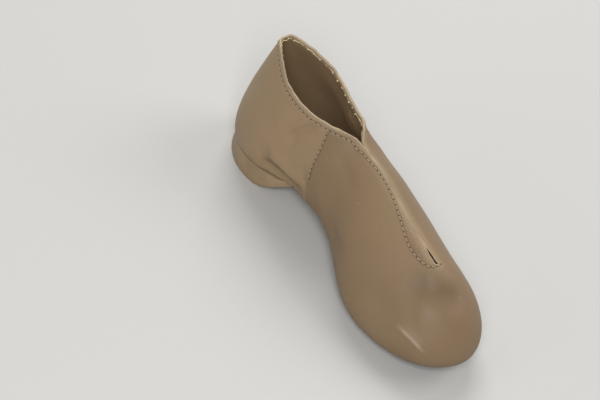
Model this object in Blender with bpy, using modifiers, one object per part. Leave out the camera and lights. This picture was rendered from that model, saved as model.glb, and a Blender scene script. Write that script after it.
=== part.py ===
"""A child's left jazz shoe: a soft slip-on of thin leather with a split sole.

The toe points along -Y, +Z is up and +X is the outer side of the foot. The origin is on the
floor under the middle of the shoe. Sizes are in metres, and tables hold shares of them.
"""

import math
from collections import namedtuple

import bmesh
import bpy
import numpy as np
from mathutils import Matrix

MM = 0.001

# The last, which gives the shoe its form
LAST_LENGTH = 185.0 * MM
BALL_WIDTH = 55.5 * MM
INSTEP_HEIGHT = 61.5 * MM

# How the last's bottom runs over the floor
HEEL_HEIGHT = 11.0 * MM
SOLE_THICKNESS = 2.4 * MM
ARCH_RISE = 3.8 * MM
TOE_SPRING = 6.2 * MM
SEAT_TILT = 1.3 * MM
SEAT_END = 0.22
TILT_END = 0.50
BALL_START = 0.635
BALL_END = 0.745

# Leather, edges and gaps
WALL = 1.3 * MM
LAP_STEP = 0.5 * MM
LAP_WIDTH = 0.8 * MM
SEAM_FORWARD = 0.368
SLIT_HALF_GAP = 0.85 * MM
SLIT_END_RADIUS = 0.9 * MM
LASTING_MARGIN = 11.0 * MM
GAP = 0.36 * MM

# The sole pad under the forefoot
PAD_START = 0.575
PAD_INSET = 0.6 * MM
PAD_BOW = 7.0 * MM

# The heel
HEEL_LENGTH = 60.0 * MM
HEEL_FLAT_LENGTH = 39.0 * MM
HEEL_LIP = 1.8 * MM
HEEL_INSET = 0.3 * MM
HEEL_SETBACK = 1.4 * MM
HEEL_BOW = 9.0 * MM

# The sock inside, and the elastic gusset under the throat
INSOLE_THICKNESS = 1.2 * MM
INSOLE_INSET = 1.4 * MM
GUSSET_THICKNESS = 0.9 * MM
GUSSET_HALF_WIDTH = 9.0 * MM
GUSSET_MIDDLE = 2.6 * MM
GUSSET_START = 0.450
GUSSET_TURN = 0.785

# Mesh density
QUARTER_STEPS = 17
VAMP_STEPS = 26
WALL_STEPS = 16
GUSSET_STEPS = 12
GUSSET_TURN_STEPS = 5
GUSSET_ACROSS = 4
RIB_SHARES = np.array([0.0, 0.1, 0.28, 0.5, 0.72, 0.9, 1.0])
CUT_PASSES = 30

# One row for each section round the last, from the heel's back along the outer side to the
# toe and back along the inner side.
# forward: share of LAST_LENGTH from the heel's back; side: share of half BALL_WIDTH.
# lean: how far the wall leans out where it leaves the bottom, in degrees from upright.
# belly: fullness of the wall low down, and crown: high up, as shares of INSTEP_HEIGHT.
# top_forward, top_side: where the section ends on the ridge of the last.
# roof: how steeply the section leaves the ridge, in degrees under the horizon.
Section = namedtuple("Section", "name forward side lean belly top_forward top_side roof crown")
SECTIONS = (
    Section("heel back", 0.000, 0.00, 32, 0.23, 0.075, 0.00, 80, 0.42),
    Section("heel outer", 0.040, 0.52, 28, 0.23, 0.100, 0.11, 80, 0.42),
    Section("seat outer", 0.160, 0.86, 29, 0.23, 0.190, 0.19, 76, 0.42),
    Section("waist outer", 0.380, 0.60, 51, 0.25, 0.360, 0.12, 60, 0.40),
    Section("throat outer", 0.460, 0.73, 51, 0.25, 0.425, 0.08, 28, 0.46),
    Section("shank outer", 0.530, 0.86, 51, 0.25, 0.510, 0.10, 24, 0.42),
    Section("ball outer", 0.660, 0.97, 60, 0.26, 0.620, 0.06, 21, 0.34),
    Section("toe outer", 0.850, 0.78, 71, 0.26, 0.787, 0.00, 10, 0.28),
    Section("corner outer", 0.950, 0.48, 71, 0.26, 0.807, 0.00, 8, 0.32),
    Section("tip", 0.990, 0.00, 71, 0.26, 0.812, 0.00, 8, 0.36),
    Section("corner inner", 0.960, -0.51, 71, 0.26, 0.807, 0.00, 8, 0.32),
    Section("toe inner", 0.870, -0.85, 71, 0.26, 0.787, 0.00, 10, 0.28),
    Section("ball inner", 0.715, -0.94, 60, 0.26, 0.630, 0.06, 18, 0.36),
    Section("shank inner", 0.550, -0.50, 48, 0.23, 0.510, 0.10, 30, 0.34),
    Section("throat inner", 0.480, -0.40, 48, 0.23, 0.425, 0.10, 38, 0.36),
    Section("waist inner", 0.400, -0.41, 48, 0.23, 0.365, -0.10, 60, 0.40),
    Section("seat inner", 0.160, -0.88, 27, 0.23, 0.190, -0.19, 76, 0.42),
    Section("heel inner", 0.040, -0.53, 27, 0.23, 0.100, -0.11, 80, 0.42),
)

# The ridge from the side: forward as a share of LAST_LENGTH, height of INSTEP_HEIGHT
SidePoint = namedtuple("SidePoint", "name forward height")
RIDGE = (
    SidePoint("cone back", 0.050, 1.50),
    SidePoint("cone middle", 0.200, 1.42),
    SidePoint("cone front", 0.340, 1.16),
    SidePoint("collar front", 0.420, 0.950),
    SidePoint("start of the slit", 0.500, 0.908),
    SidePoint("middle of the slit", 0.626, 0.835),
    SidePoint("end of the slit", 0.812, 0.735),
)

# The collar's edge: its height on the outer and the inner side, in the same shares
CollarPoint = namedtuple("CollarPoint", "name forward outer inner")
COLLAR = (
    CollarPoint("back", 0.020, 1.125, 1.125),
    CollarPoint("behind the ankle", 0.100, 1.075, 1.115),
    CollarPoint("ankle", 0.160, 1.018, 1.045),
    CollarPoint("under the ankle", 0.220, 0.983, 1.003),
    CollarPoint("in front of the ankle", 0.300, 0.967, 0.984),
    CollarPoint("rise", 0.370, 0.967, 0.987),
    CollarPoint("front", 0.420, 0.950, 0.940),
)
COLLAR_BLEND = 8.0 * MM

# Edges of the sole pieces: depth and outward reach as shares of the piece's thickness
EdgeRing = namedtuple("EdgeRing", "depth out")
PAD_EDGE = (EdgeRing(0.0, 0.0), EdgeRing(0.55, 0.1), EdgeRing(1.0, -0.2))
HEEL_EDGE = (
    EdgeRing(0.0, -0.03),
    EdgeRing(0.08, 0.0),
    EdgeRing(0.45, 0.03),
    EdgeRing(0.87, 0.06),
    EdgeRing(1.0, 0.02),
)
SOCK_EDGE = (EdgeRing(0.0, 0.0), EdgeRing(1.0, 0.0))

# Linear colour, roughness and metallic value of each material
TAN_LEATHER = ("tan_leather", (0.235, 0.165, 0.100), 0.45, 0.0)
TAN_HEEL = ("tan_heel", (0.215, 0.155, 0.098), 0.60, 0.0)
DARK_SOLE = ("dark_sole", (0.030, 0.024, 0.020), 0.85, 0.0)
GREY_SOCK = ("grey_sock", (0.105, 0.072, 0.055), 0.90, 0.0)
TAN_ELASTIC = ("tan_elastic", (0.190, 0.130, 0.085), 0.80, 0.0)


def natural_spline(knots, values, at):
    """A cubic spline through the knots, straight at both ends."""
    knots, values = np.asarray(knots, float), np.asarray(values, float)
    steps = np.diff(knots)
    count = len(knots)
    system, right = np.zeros((count, count)), np.zeros(count)
    system[0, 0] = system[-1, -1] = 1.0
    for i in range(1, count - 1):
        system[i, i - 1 : i + 2] = steps[i - 1], 2 * (steps[i - 1] + steps[i]), steps[i]
        right[i] = 6 * (
            (values[i + 1] - values[i]) / steps[i] - (values[i] - values[i - 1]) / steps[i - 1]
        )
    bends = np.linalg.solve(system, right)
    i = np.clip(np.searchsorted(knots, at) - 1, 0, count - 2)
    before, after, step = at - knots[i], knots[i + 1] - at, steps[i]
    return (
        (bends[i] * after**3 + bends[i + 1] * before**3) / (6 * step)
        + (values[i] / step - bends[i] * step / 6) * after
        + (values[i + 1] / step - bends[i + 1] * step / 6) * before
    )


def loop_spline(knots, rows, period, at):
    """A closed cubic spline through rows of values at the knots."""
    knots, rows = np.asarray(knots, float), np.asarray(rows, float)
    count = len(knots)
    steps = np.diff(np.append(knots, knots[0] + period))
    system, right = np.zeros((count, count)), np.zeros(rows.shape)
    for i in range(count):
        before, after = (i - 1) % count, (i + 1) % count
        system[i, before] += steps[before]
        system[i, i] += 2 * (steps[before] + steps[i])
        system[i, after] += steps[i]
        right[i] = 6 * (
            (rows[after] - rows[i]) / steps[i] - (rows[i] - rows[before]) / steps[before]
        )
    bends = np.linalg.solve(system, right)
    at = np.mod(at - knots[0], period) + knots[0]
    i = np.clip(np.searchsorted(knots, at, side="right") - 1, 0, count - 1)
    j = (i + 1) % count
    step = steps[i][:, None]
    after, before = (knots[i] + steps[i] - at)[:, None], (at - knots[i])[:, None]
    return (
        (bends[i] * after**3 + bends[j] * before**3) / (6 * step)
        + (rows[i] / step - bends[i] * step / 6) * after
        + (rows[j] / step - bends[j] * step / 6) * before
    )


def smooth_step(share):
    share = np.clip(share, 0.0, 1.0)
    return share * share * (3 - 2 * share)


def seat_tilt(forward):
    """-1 at the heel's back, 1 at the end of the seat, and 0 from the middle of the waist on."""
    rise = 2 * smooth_step(forward / SEAT_END) - 1
    return rise * (1 - smooth_step((forward - SEAT_END) / (TILT_END - SEAT_END)))


def bottom_height(forward):
    """Height of the last's bottom over the floor, from its forward share."""
    ball_height = SOLE_THICKNESS + GAP
    share = np.clip((forward - SEAT_END) / (BALL_START - SEAT_END), 0.0, 1.0)
    waist = HEEL_HEIGHT + (ball_height - HEEL_HEIGHT) * smooth_step(share)
    waist = waist + ARCH_RISE * np.sin(math.pi * share) ** 2
    waist = waist + SEAT_TILT * seat_tilt(forward)
    toe = np.clip((forward - BALL_END) / (1 - BALL_END), 0.0, None)
    return waist + TOE_SPRING * toe**2


def ridge_height(forward):
    points = [(p.forward, p.height) for p in RIDGE]
    return natural_spline(*zip(*points), forward) * INSTEP_HEIGHT


def collar_height(side, forward):
    """Height of the collar's edge, and far above the shoe in front of the collar."""
    first, last = COLLAR[0].forward, COLLAR[-1].forward
    knots = [point.forward for point in COLLAR]
    at = np.clip(forward, first, last)
    outer = natural_spline(knots, [point.outer for point in COLLAR], at)
    inner = natural_spline(knots, [point.inner for point in COLLAR], at)
    share = smooth_step(0.5 + side / (2 * COLLAR_BLEND))
    height = (inner + (outer - inner) * share) * INSTEP_HEIGHT
    return np.where(forward < last, height, 10 * INSTEP_HEIGHT)


class Last:
    """The sections of the last, read at any place round its bottom edge."""

    def __init__(self):
        rows = np.array([section[1:] for section in SECTIONS], float)
        plan = np.stack([rows[:, 1] * BALL_WIDTH / 2, rows[:, 0] * LAST_LENGTH], 1)
        chords = np.linalg.norm(np.roll(plan, -1, 0) - plan, axis=1)
        self.rows = rows
        self.knots = np.concatenate([[0.0], np.cumsum(chords)[:-1]])
        self.period = chords.sum()
        self.tip = self.knots[[section.name for section in SECTIONS].index("tip")]

    def read(self, place):
        return loop_spline(self.knots, self.rows, self.period, np.asarray(place, float))

    def place_at(self, forward, outer, on_ridge=False):
        """The place on one side whose bottom edge, or whose top, is that far forward."""
        low, high = (0.0, self.tip) if outer else (self.period, self.tip)
        for _ in range(CUT_PASSES):
            middle = (low + high) / 2
            ahead = self.read([middle])[0, 4 if on_ridge else 0] > forward
            low, high = (low, middle) if ahead else (middle, high)
        return (low + high) / 2

    def edge(self, place):
        """Bottom edge as (side, forward) lengths, and the outward direction there."""
        step = self.period * 1e-3
        here, ahead, behind = (self.read(np.asarray(place) + d) for d in (0.0, step, -step))
        scale = np.array([BALL_WIDTH / 2, LAST_LENGTH])
        along = (ahead[:, [1, 0]] - behind[:, [1, 0]]) * scale
        along /= np.linalg.norm(along, axis=1)[:, None]
        outward = np.stack([along[:, 1], -along[:, 0]], 1)
        return here[:, [1, 0]] * scale, outward

    def controls(self, place):
        """The four control points of the section's curve at each place."""
        row = self.read(place)
        edge, outward = self.edge(place)
        lean, roof = np.radians(row[:, 2]), np.radians(row[:, 6])
        foot = np.column_stack([edge, bottom_height(edge[:, 1] / LAST_LENGTH)])
        rise = np.column_stack([outward * np.sin(lean)[:, None], np.cos(lean)])
        low = foot + rise * (row[:, 3] * INSTEP_HEIGHT)[:, None]
        top_forward = row[:, 4]
        beside = np.sign(outward[:, 0]) * np.minimum(1.0, 3 * np.abs(outward[:, 0]))
        ahead = np.clip(outward[:, 1], 0.0, 1.0) * SLIT_END_RADIUS
        top = np.column_stack(
            [
                row[:, 5] * BALL_WIDTH / 2 + SLIT_HALF_GAP * beside,
                top_forward * LAST_LENGTH + np.where(top_forward > 0.7, ahead, 0.0),
                ridge_height(top_forward),
            ]
        )
        reach = 0.002
        slope = (ridge_height(top_forward + reach) - ridge_height(top_forward - reach)) / (
            2 * reach * LAST_LENGTH
        )
        on_vamp = 1 - np.clip((row[:, 6] - 50) / 30, 0, 1)
        drop = -np.sin(roof) + outward[:, 1] * slope * np.cos(roof) * on_vamp
        fall = np.column_stack([outward * np.cos(roof)[:, None], drop])
        fall /= np.linalg.norm(fall, axis=1)[:, None]
        high = top + fall * (row[:, 7] * INSTEP_HEIGHT)[:, None]
        return foot, low, high, top

    def wall(self, place, shares):
        """Points up the wall at shares of the way to the collar or the slit."""
        points = self.controls(place)

        def on_curve(share):
            share = np.asarray(share)[:, None]
            rest = 1 - share
            foot, low, high, top = points
            return (
                rest**3 * foot
                + 3 * rest**2 * share * low
                + 3 * rest * share**2 * high
                + share**3 * top
            )

        def over_collar(share):
            point = on_curve(share)
            return point[:, 2] > collar_height(point[:, 0], point[:, 1] / LAST_LENGTH)

        low, high = np.zeros(len(place)), np.ones(len(place))
        for _ in range(CUT_PASSES):
            middle = (low + high) / 2
            over = over_collar(middle)
            low, high = np.where(over, low, middle), np.where(over, middle, high)
        cut = np.where(over_collar(np.ones(len(place))), (low + high) / 2, 1.0)
        return np.stack([on_curve(cut * share) for share in shares])


def to_frame(points):
    """(side, forward, height) points of the last with the toe along -Y."""
    return np.asarray(points, float) * (1.0, -1.0, 1.0)


def wall_places(last):
    """Places of the columns on the outer side and on the inner side, heel to toe."""
    sides = []
    for outer in (True, False):
        seam = last.place_at(SEAM_FORWARD, outer)
        start, onward = (0.0, 1.0) if outer else (last.period, -1.0)
        quarter = start + (seam - start) * np.linspace(0.0, 1.0, QUARTER_STEPS + 1) ** 1.25
        back = last.tip - seam - onward * LAP_WIDTH
        vamp = last.tip - back * np.linspace(1.0, 0.0, VAMP_STEPS + 1) ** 1.15
        sides.append(np.concatenate([quarter, vamp]))
    return sides


def wall_normals(grid):
    """Outward directions of a grid of rows up the wall and columns round the last."""
    across = np.roll(grid, -1, 1) - np.roll(grid, 1, 1)
    up = np.gradient(grid, axis=0)
    normals = np.cross(across, up)
    return normals / np.linalg.norm(normals, axis=2)[:, :, None]


def new_object(name, mesh_data, material, collection):
    mesh = bpy.data.meshes.new(name)
    mesh_data.to_mesh(mesh)
    mesh_data.free()
    obj = bpy.data.objects.new(name, mesh)
    mesh.materials.append(material)
    collection.objects.link(obj)
    mesh.shade_smooth()
    mesh.set_sharp_from_angle(angle=math.radians(50))
    return obj


def add_wall(obj, thickness, offset):
    shell = obj.modifiers.new("wall", "SOLIDIFY")
    shell.thickness = thickness
    shell.offset = offset
    shell.use_even_offset = True
    shell.use_quality_normals = True


def make_upper(last, material, collection):
    """The leather upper: one wall from the lasting margins up to the collar and the slit."""
    outer, inner = wall_places(last)
    half = len(outer)
    ring = np.concatenate([outer, inner[-2:0:-1]])
    shares = np.linspace(0.0, 1.0, WALL_STEPS + 1)
    grid = last.wall(ring, shares)
    seam_column = QUARTER_STEPS
    on_vamp = np.zeros(len(ring))
    on_vamp[seam_column + 1 : len(ring) - seam_column] = 1.0
    step = LAP_STEP * on_vamp[None, :] * smooth_step(shares * 8)[:, None]
    grid = grid + wall_normals(grid) * step[:, :, None]

    mesh = bmesh.new()
    rows = [[mesh.verts.new(point) for point in row] for row in to_frame(grid)]
    count = len(ring)
    for low, high in zip(rows, rows[1:]):
        for i in range(count):
            j = (i + 1) % count
            mesh.faces.new((low[i], high[i], high[j], low[j]))

    # The bottom: ribs from side to side, open under the seat and under the forefoot
    foot = rows[0]
    margin_forward = LASTING_MARGIN / LAST_LENGTH
    tip_forward = grid[0, half - 1, 1] / LAST_LENGTH
    ribs, forwards = [], []
    for k in range(1, half - 1):
        right, left = grid[0, k], grid[0, (count - k) % count]
        chord = np.linalg.norm((right - left)[:2])
        margin = min(LASTING_MARGIN / chord, 0.3)
        plan = [right + (left - right) * share for share in (margin, 0.5, 1 - margin)]
        for point in plan:
            point[2] = bottom_height(point[1] / LAST_LENGTH)
        ribs.append(plan)
        forwards.append(plan[1][1] / LAST_LENGTH)

    def is_open(forward):
        under_seat = margin_forward < forward < SEAT_END + margin_forward
        under_ball = PAD_START + margin_forward < forward < tip_forward - margin_forward
        return under_seat or under_ball

    def middle_needed(k):
        beside = forwards[max(k - 1, 0) : k + 2]
        return not is_open(forwards[k]) or any(not is_open(f) for f in beside)

    rib_rows = []
    for k, plan in enumerate(ribs):
        points = to_frame(plan)
        middle = mesh.verts.new(points[1]) if middle_needed(k) else None
        right, left = foot[k + 1], foot[(count - k - 1) % count]
        rib_rows.append((right, mesh.verts.new(points[0]), middle, mesh.verts.new(points[2]), left))
    for k, (near, ahead) in enumerate(zip(rib_rows, rib_rows[1:])):
        hole = is_open(forwards[k]) and is_open(forwards[k + 1])
        for i in (0, 3) if hole else (0, 1, 2, 3):
            mesh.faces.new((near[i], ahead[i], ahead[i + 1], near[i + 1]))
    for end, rib, turned in ((foot[0], rib_rows[0], True), (foot[half - 1], rib_rows[-1], False)):
        for a, b in zip(rib, rib[1:]):
            mesh.faces.new((end, a, b) if turned else (end, b, a))
    loose = [vert for vert in mesh.verts if not vert.link_faces]
    bmesh.ops.delete(mesh, geom=loose, context="VERTS")
    upper = new_object("upper", mesh, material, collection)
    add_wall(upper, WALL, -1.0)
    return upper


def make_slab(name, ribs, top_height, thickness, full, edge, material, collection):
    """A sole piece on ribs from side to side, full thick at most, with a shaped edge."""
    ribs = np.asarray(ribs, float)
    count, across = ribs.shape[:2]
    mesh = bmesh.new()
    layers = []
    centre = ribs.mean(axis=(0, 1))
    rim = [(k, 0) for k in range(count)]
    rim += [(count - 1, i) for i in range(1, across)]
    rim += [(k, across - 1) for k in range(count - 2, -1, -1)]
    rim += [(0, i) for i in range(across - 2, 0, -1)]
    loop = np.array([ribs[key] for key in rim])
    outward = loop_outward(loop, centre)

    def vertex(plan, depth):
        top = top_height(plan)
        return mesh.verts.new(to_frame((plan[0], plan[1], top - depth * thickness(plan))))

    for ring in edge:
        shifted = loop + outward * ring.out * full
        layers.append([vertex(plan, ring.depth) for plan in shifted])
    for above, below in zip(layers, layers[1:]):
        for i in range(len(rim)):
            j = (i + 1) % len(rim)
            mesh.faces.new((above[i], above[j], below[j], below[i]))
    for layer, depth, turned in ((layers[0], 0.0, False), (layers[-1], 1.0, True)):
        grid = {key: vert for key, vert in zip(rim, layer)}
        for k in range(1, count - 1):
            for i in range(1, across - 1):
                grid[k, i] = vertex(ribs[k, i], depth)
        for k in range(count - 1):
            for i in range(across - 1):
                corners = (grid[k, i], grid[k, i + 1], grid[k + 1, i + 1], grid[k + 1, i])
                mesh.faces.new(corners[::-1] if turned else corners)
    bmesh.ops.remove_doubles(mesh, verts=mesh.verts, dist=1e-6)
    bmesh.ops.recalc_face_normals(mesh, faces=mesh.faces)
    return new_object(name, mesh, material, collection)


def loop_outward(loop, centre):
    """Outward directions of a closed plan outline, the same where its points coincide."""
    outward = np.zeros(loop.shape)
    count = len(loop)
    for i, point in enumerate(loop):
        before = next(p for p in (loop[(i - n) % count] for n in range(1, count)) if far(p, point))
        after = next(p for p in (loop[(i + n) % count] for n in range(1, count)) if far(p, point))
        along = after - before
        normal = np.array([along[1], -along[0]]) / np.linalg.norm(along)
        outward[i] = normal if normal @ (point - centre) > 0 else -normal
    return outward


def far(first, second):
    return np.linalg.norm(first - second) > 1e-6


def inset_edge(last, places, inset, setback=0.0):
    """The bottom edge moved inwards, and at the back of the heel by the setback as well."""
    edge, outward = last.edge(places)
    backward = np.clip(-outward[:, 1:], 0.0, 1.0) ** 2
    return edge - outward * (inset + setback * backward)


def cross_ribs(last, forwards, inset, setback=0.0, bow_at_start=0.0, bow_at_end=0.0):
    """Ribs of plan points from the outer to the inner edge at forward shares."""
    shares = RIB_SHARES
    ribs = []
    for n, forward in enumerate(forwards):
        places = [last.place_at(forward, outer) for outer in (True, False)]
        right, left = inset_edge(last, np.array(places), inset, setback)
        rib = right + (left - right) * shares[:, None]
        travel = n / (len(forwards) - 1)
        bow = -bow_at_start * (1 - travel) ** 3 + bow_at_end * travel**3
        rib[:, 1] += bow * 4 * shares * (1 - shares)
        ribs.append(rib)
    return ribs


def end_rib(last, place, inset, setback=0.0):
    """A rib drawn together to the one point of the edge at that place."""
    edge = inset_edge(last, np.array([place]), inset, setback)
    return np.repeat(edge, len(RIB_SHARES), axis=0)


def round_stations(start, end, steps):
    """Stations that close up towards the round end of the outline."""
    turn = np.linspace(0.0, math.pi / 2, steps + 1)[:-1]
    return start + (end - start) * np.sin(turn)


def make_forefoot_sole(last, material, collection):
    tip_forward = last.read([last.tip])[0, 0]
    forwards = round_stations(PAD_START, tip_forward, 15)
    ribs = cross_ribs(last, forwards, PAD_INSET, bow_at_start=PAD_BOW)
    ribs.append(end_rib(last, last.tip, PAD_INSET))

    def top(plan):
        return bottom_height(plan[1] / LAST_LENGTH) - GAP

    def thickness(plan):
        return SOLE_THICKNESS

    return make_slab(
        "forefoot_sole", ribs, top, thickness, SOLE_THICKNESS, PAD_EDGE, material, collection
    )


def make_heel(last, material, collection):
    """The heel: flat on the floor under the seat, and thinning to a lip under the waist."""
    end_forward = (HEEL_LENGTH - HEEL_BOW) / LAST_LENGTH
    forwards = round_stations(end_forward, 0.0, 14)[::-1]
    setback = HEEL_SETBACK - HEEL_INSET
    ribs = [end_rib(last, 0.0, HEEL_INSET, setback)]
    ribs += cross_ribs(last, forwards, HEEL_INSET, setback, bow_at_end=HEEL_BOW)

    def top(plan):
        return bottom_height(plan[1] / LAST_LENGTH) - GAP

    def thickness(plan):
        rise = (plan[1] - HEEL_FLAT_LENGTH) / (HEEL_LENGTH - HEEL_FLAT_LENGTH)
        full = top(plan)
        return full + (HEEL_LIP - full) * smooth_step(rise)

    return make_slab("heel", ribs, top, thickness, HEEL_HEIGHT, HEEL_EDGE, material, collection)


def make_insole(last, material, collection):
    tip_forward = last.read([last.tip])[0, 0]
    turn = np.linspace(0.0, math.pi, 25)[1:-1]
    forwards = tip_forward * (1 - np.cos(turn)) / 2
    ribs = [end_rib(last, 0.0, INSOLE_INSET)]
    ribs += cross_ribs(last, forwards, INSOLE_INSET)
    ribs.append(end_rib(last, last.tip, INSOLE_INSET))

    def top(plan):
        return bottom_height(plan[1] / LAST_LENGTH) + WALL + GAP + INSOLE_THICKNESS

    def thickness(plan):
        return INSOLE_THICKNESS

    return make_slab(
        "insole", ribs, top, thickness, INSOLE_THICKNESS, SOCK_EDGE, material, collection
    )


def make_gusset(last, material, collection):
    """The elastic under the throat: a sheet that follows the upper's inside on both sides."""
    depth = WALL + GAP
    shares = np.linspace(0.5, 1.0, 61)
    distances = np.linspace(GUSSET_HALF_WIDTH, GUSSET_MIDDLE, GUSSET_ACROSS + 1)
    mesh = bmesh.new()
    sides = []
    for outer in (True, False):
        forwards = np.linspace(GUSSET_START, GUSSET_TURN, GUSSET_STEPS + 1)
        places = [last.place_at(forward, outer, on_ridge=True) for forward in forwards]
        places += list(np.linspace(places[-1], last.tip, GUSSET_TURN_STEPS + 1)[1:])
        wall = last.wall(np.array(places), shares)[::-1]
        run = np.zeros(wall.shape[:2])
        run[1:] = np.cumsum(np.linalg.norm(np.diff(wall, axis=0), axis=2), axis=0)
        grid = np.empty((len(distances), len(places), 3))
        for i in range(len(places)):
            for axis in range(3):
                grid[:, i, axis] = np.interp(distances, run[:, i], wall[:, i, axis])
        normals = np.cross(np.gradient(grid, axis=1), np.gradient(grid, axis=0))
        normals /= np.linalg.norm(normals, axis=2)[:, :, None]
        normals *= np.sign(normals[:, :, 2:])
        points = to_frame(grid - normals * depth)
        points[:, -1, 0] = 0.0
        sides.append([[mesh.verts.new(point) for point in row] for row in points])
    outer_side, inner_side = sides
    stations = len(outer_side[0])
    across = outer_side + inner_side[::-1]
    for left, right in zip(across, across[1:]):
        for i in range(stations - 1):
            mesh.faces.new((left[i], left[i + 1], right[i + 1], right[i]))
    bmesh.ops.remove_doubles(mesh, verts=mesh.verts, dist=1e-5)
    upward = sum(face.normal.z for face in mesh.faces if not face.normal_update())
    if upward < 0:
        bmesh.ops.reverse_faces(mesh, faces=mesh.faces)
    gusset = new_object("gusset", mesh, material, collection)
    add_wall(gusset, GUSSET_THICKNESS, -1.0)
    return gusset


def main():
    for obj in list(bpy.data.objects):
        bpy.data.objects.remove(obj)
    collection = bpy.data.collections.new("jazz_shoe")
    bpy.context.scene.collection.children.link(collection)
    finishes = {}
    for name, colour, roughness, metallic in (
        TAN_LEATHER,
        TAN_HEEL,
        DARK_SOLE,
        GREY_SOCK,
        TAN_ELASTIC,
    ):
        material = bpy.data.materials.new(name)
        material.use_nodes = True
        shader = material.node_tree.nodes["Principled BSDF"]
        shader.inputs["Base Color"].default_value = (*colour, 1.0)
        shader.inputs["Roughness"].default_value = roughness
        shader.inputs["Metallic"].default_value = metallic
        finishes[name] = material
    last = Last()
    pieces = [
        make_upper(last, finishes["tan_leather"], collection),
        make_forefoot_sole(last, finishes["dark_sole"], collection),
        make_heel(last, finishes["tan_heel"], collection),
        make_insole(last, finishes["grey_sock"], collection),
        make_gusset(last, finishes["tan_elastic"], collection),
    ]
    points = np.array([vert.co for piece in pieces for vert in piece.data.vertices])
    middle = (points.min(axis=0) + points.max(axis=0)) / 2
    for piece in pieces:
        piece.data.transform(Matrix.Translation((-middle[0], -middle[1], 0.0)))


main()
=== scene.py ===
"""Looks of a left jazz shoe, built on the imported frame: leather, edge, stitching, soles, stage."""

import math
from collections import namedtuple

import bmesh
import bpy
import numpy as np
from bpy.props import FloatProperty, FloatVectorProperty, PointerProperty
from mathutils import Matrix, Vector, noise
from mathutils.bvhtree import BVHTree


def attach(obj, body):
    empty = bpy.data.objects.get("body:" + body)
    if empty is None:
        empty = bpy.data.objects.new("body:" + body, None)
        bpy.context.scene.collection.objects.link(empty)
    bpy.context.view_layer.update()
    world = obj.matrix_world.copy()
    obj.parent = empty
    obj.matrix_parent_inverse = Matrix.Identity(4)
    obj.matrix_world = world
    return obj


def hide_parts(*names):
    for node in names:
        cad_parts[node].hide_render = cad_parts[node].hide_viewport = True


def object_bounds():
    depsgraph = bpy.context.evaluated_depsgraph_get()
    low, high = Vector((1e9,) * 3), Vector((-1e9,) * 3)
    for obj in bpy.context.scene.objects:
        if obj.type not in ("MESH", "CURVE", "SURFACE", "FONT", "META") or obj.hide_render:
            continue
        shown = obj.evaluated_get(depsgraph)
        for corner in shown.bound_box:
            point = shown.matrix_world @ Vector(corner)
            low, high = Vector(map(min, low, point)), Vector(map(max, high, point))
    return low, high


bl_info = {
    "name": "Jazz shoe",
    "version": (1, 0, 0),
    "blender": (4, 5, 0),
    "location": "View3D > Sidebar > Jazz shoe",
    "description": "Builds the leather, edge, stitching, soles and stage of a left jazz shoe",
    "category": "Object",
}

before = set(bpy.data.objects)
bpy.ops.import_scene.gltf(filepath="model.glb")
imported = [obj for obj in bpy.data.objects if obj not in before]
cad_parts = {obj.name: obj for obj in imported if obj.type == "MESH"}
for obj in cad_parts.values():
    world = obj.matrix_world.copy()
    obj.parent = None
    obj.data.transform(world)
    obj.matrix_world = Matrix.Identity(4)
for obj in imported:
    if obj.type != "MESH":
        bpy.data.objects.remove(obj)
CAD_LOW, CAD_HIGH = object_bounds()

MM = 0.001
BODY = "root"

# The shoe's own sizes, which every share below is taken of
SHOE_LENGTH = CAD_HIGH.y - CAD_LOW.y
SHOE_HALF_WIDTH = (CAD_HIGH.x - CAD_LOW.x) / 2
SHOE_HEIGHT = CAD_HIGH.z - CAD_LOW.z

# Edges of the upper's solid sharper than this part its outside, its rim and its inside
RIM_ANGLE = math.radians(50)
UNDER_RIM = CAD_LOW.z + 0.35 * SHOE_HEIGHT
# Edges of the other solids sharper than this are softened
HARD_ANGLE = math.radians(38)
# Points nearer than this are one. Two triangles make a quad where they meet this flat, and the
# quad's corners stay within this much of each other.
WELD = 0.02 * MM
FLAT_PAIR = math.radians(35)
PAIR_SHAPE = math.radians(75)

# Where the throat slit begins and where it opens as a lens, as shares of the shoe's length from
# the heel. The slit is read from a little behind its beginning.
THROAT_START = 0.43
SLIT_READ_FROM = THROAT_START - 0.01
LENS_START = 0.768

# Stretches of the shoe as shares of its length: start and end, and how far each takes to set in
# and to die away
Stretch = namedtuple("Stretch", "start end rise fall")
GATHERED = Stretch(0.62, 0.79, 0.03, 0.03)
SHUT_SLIT = Stretch(THROAT_START, LENS_START, 0.03, 0.02)
FAR_COLLAR = Stretch(0.02, 0.41, 0.05, 0.05)

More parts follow.
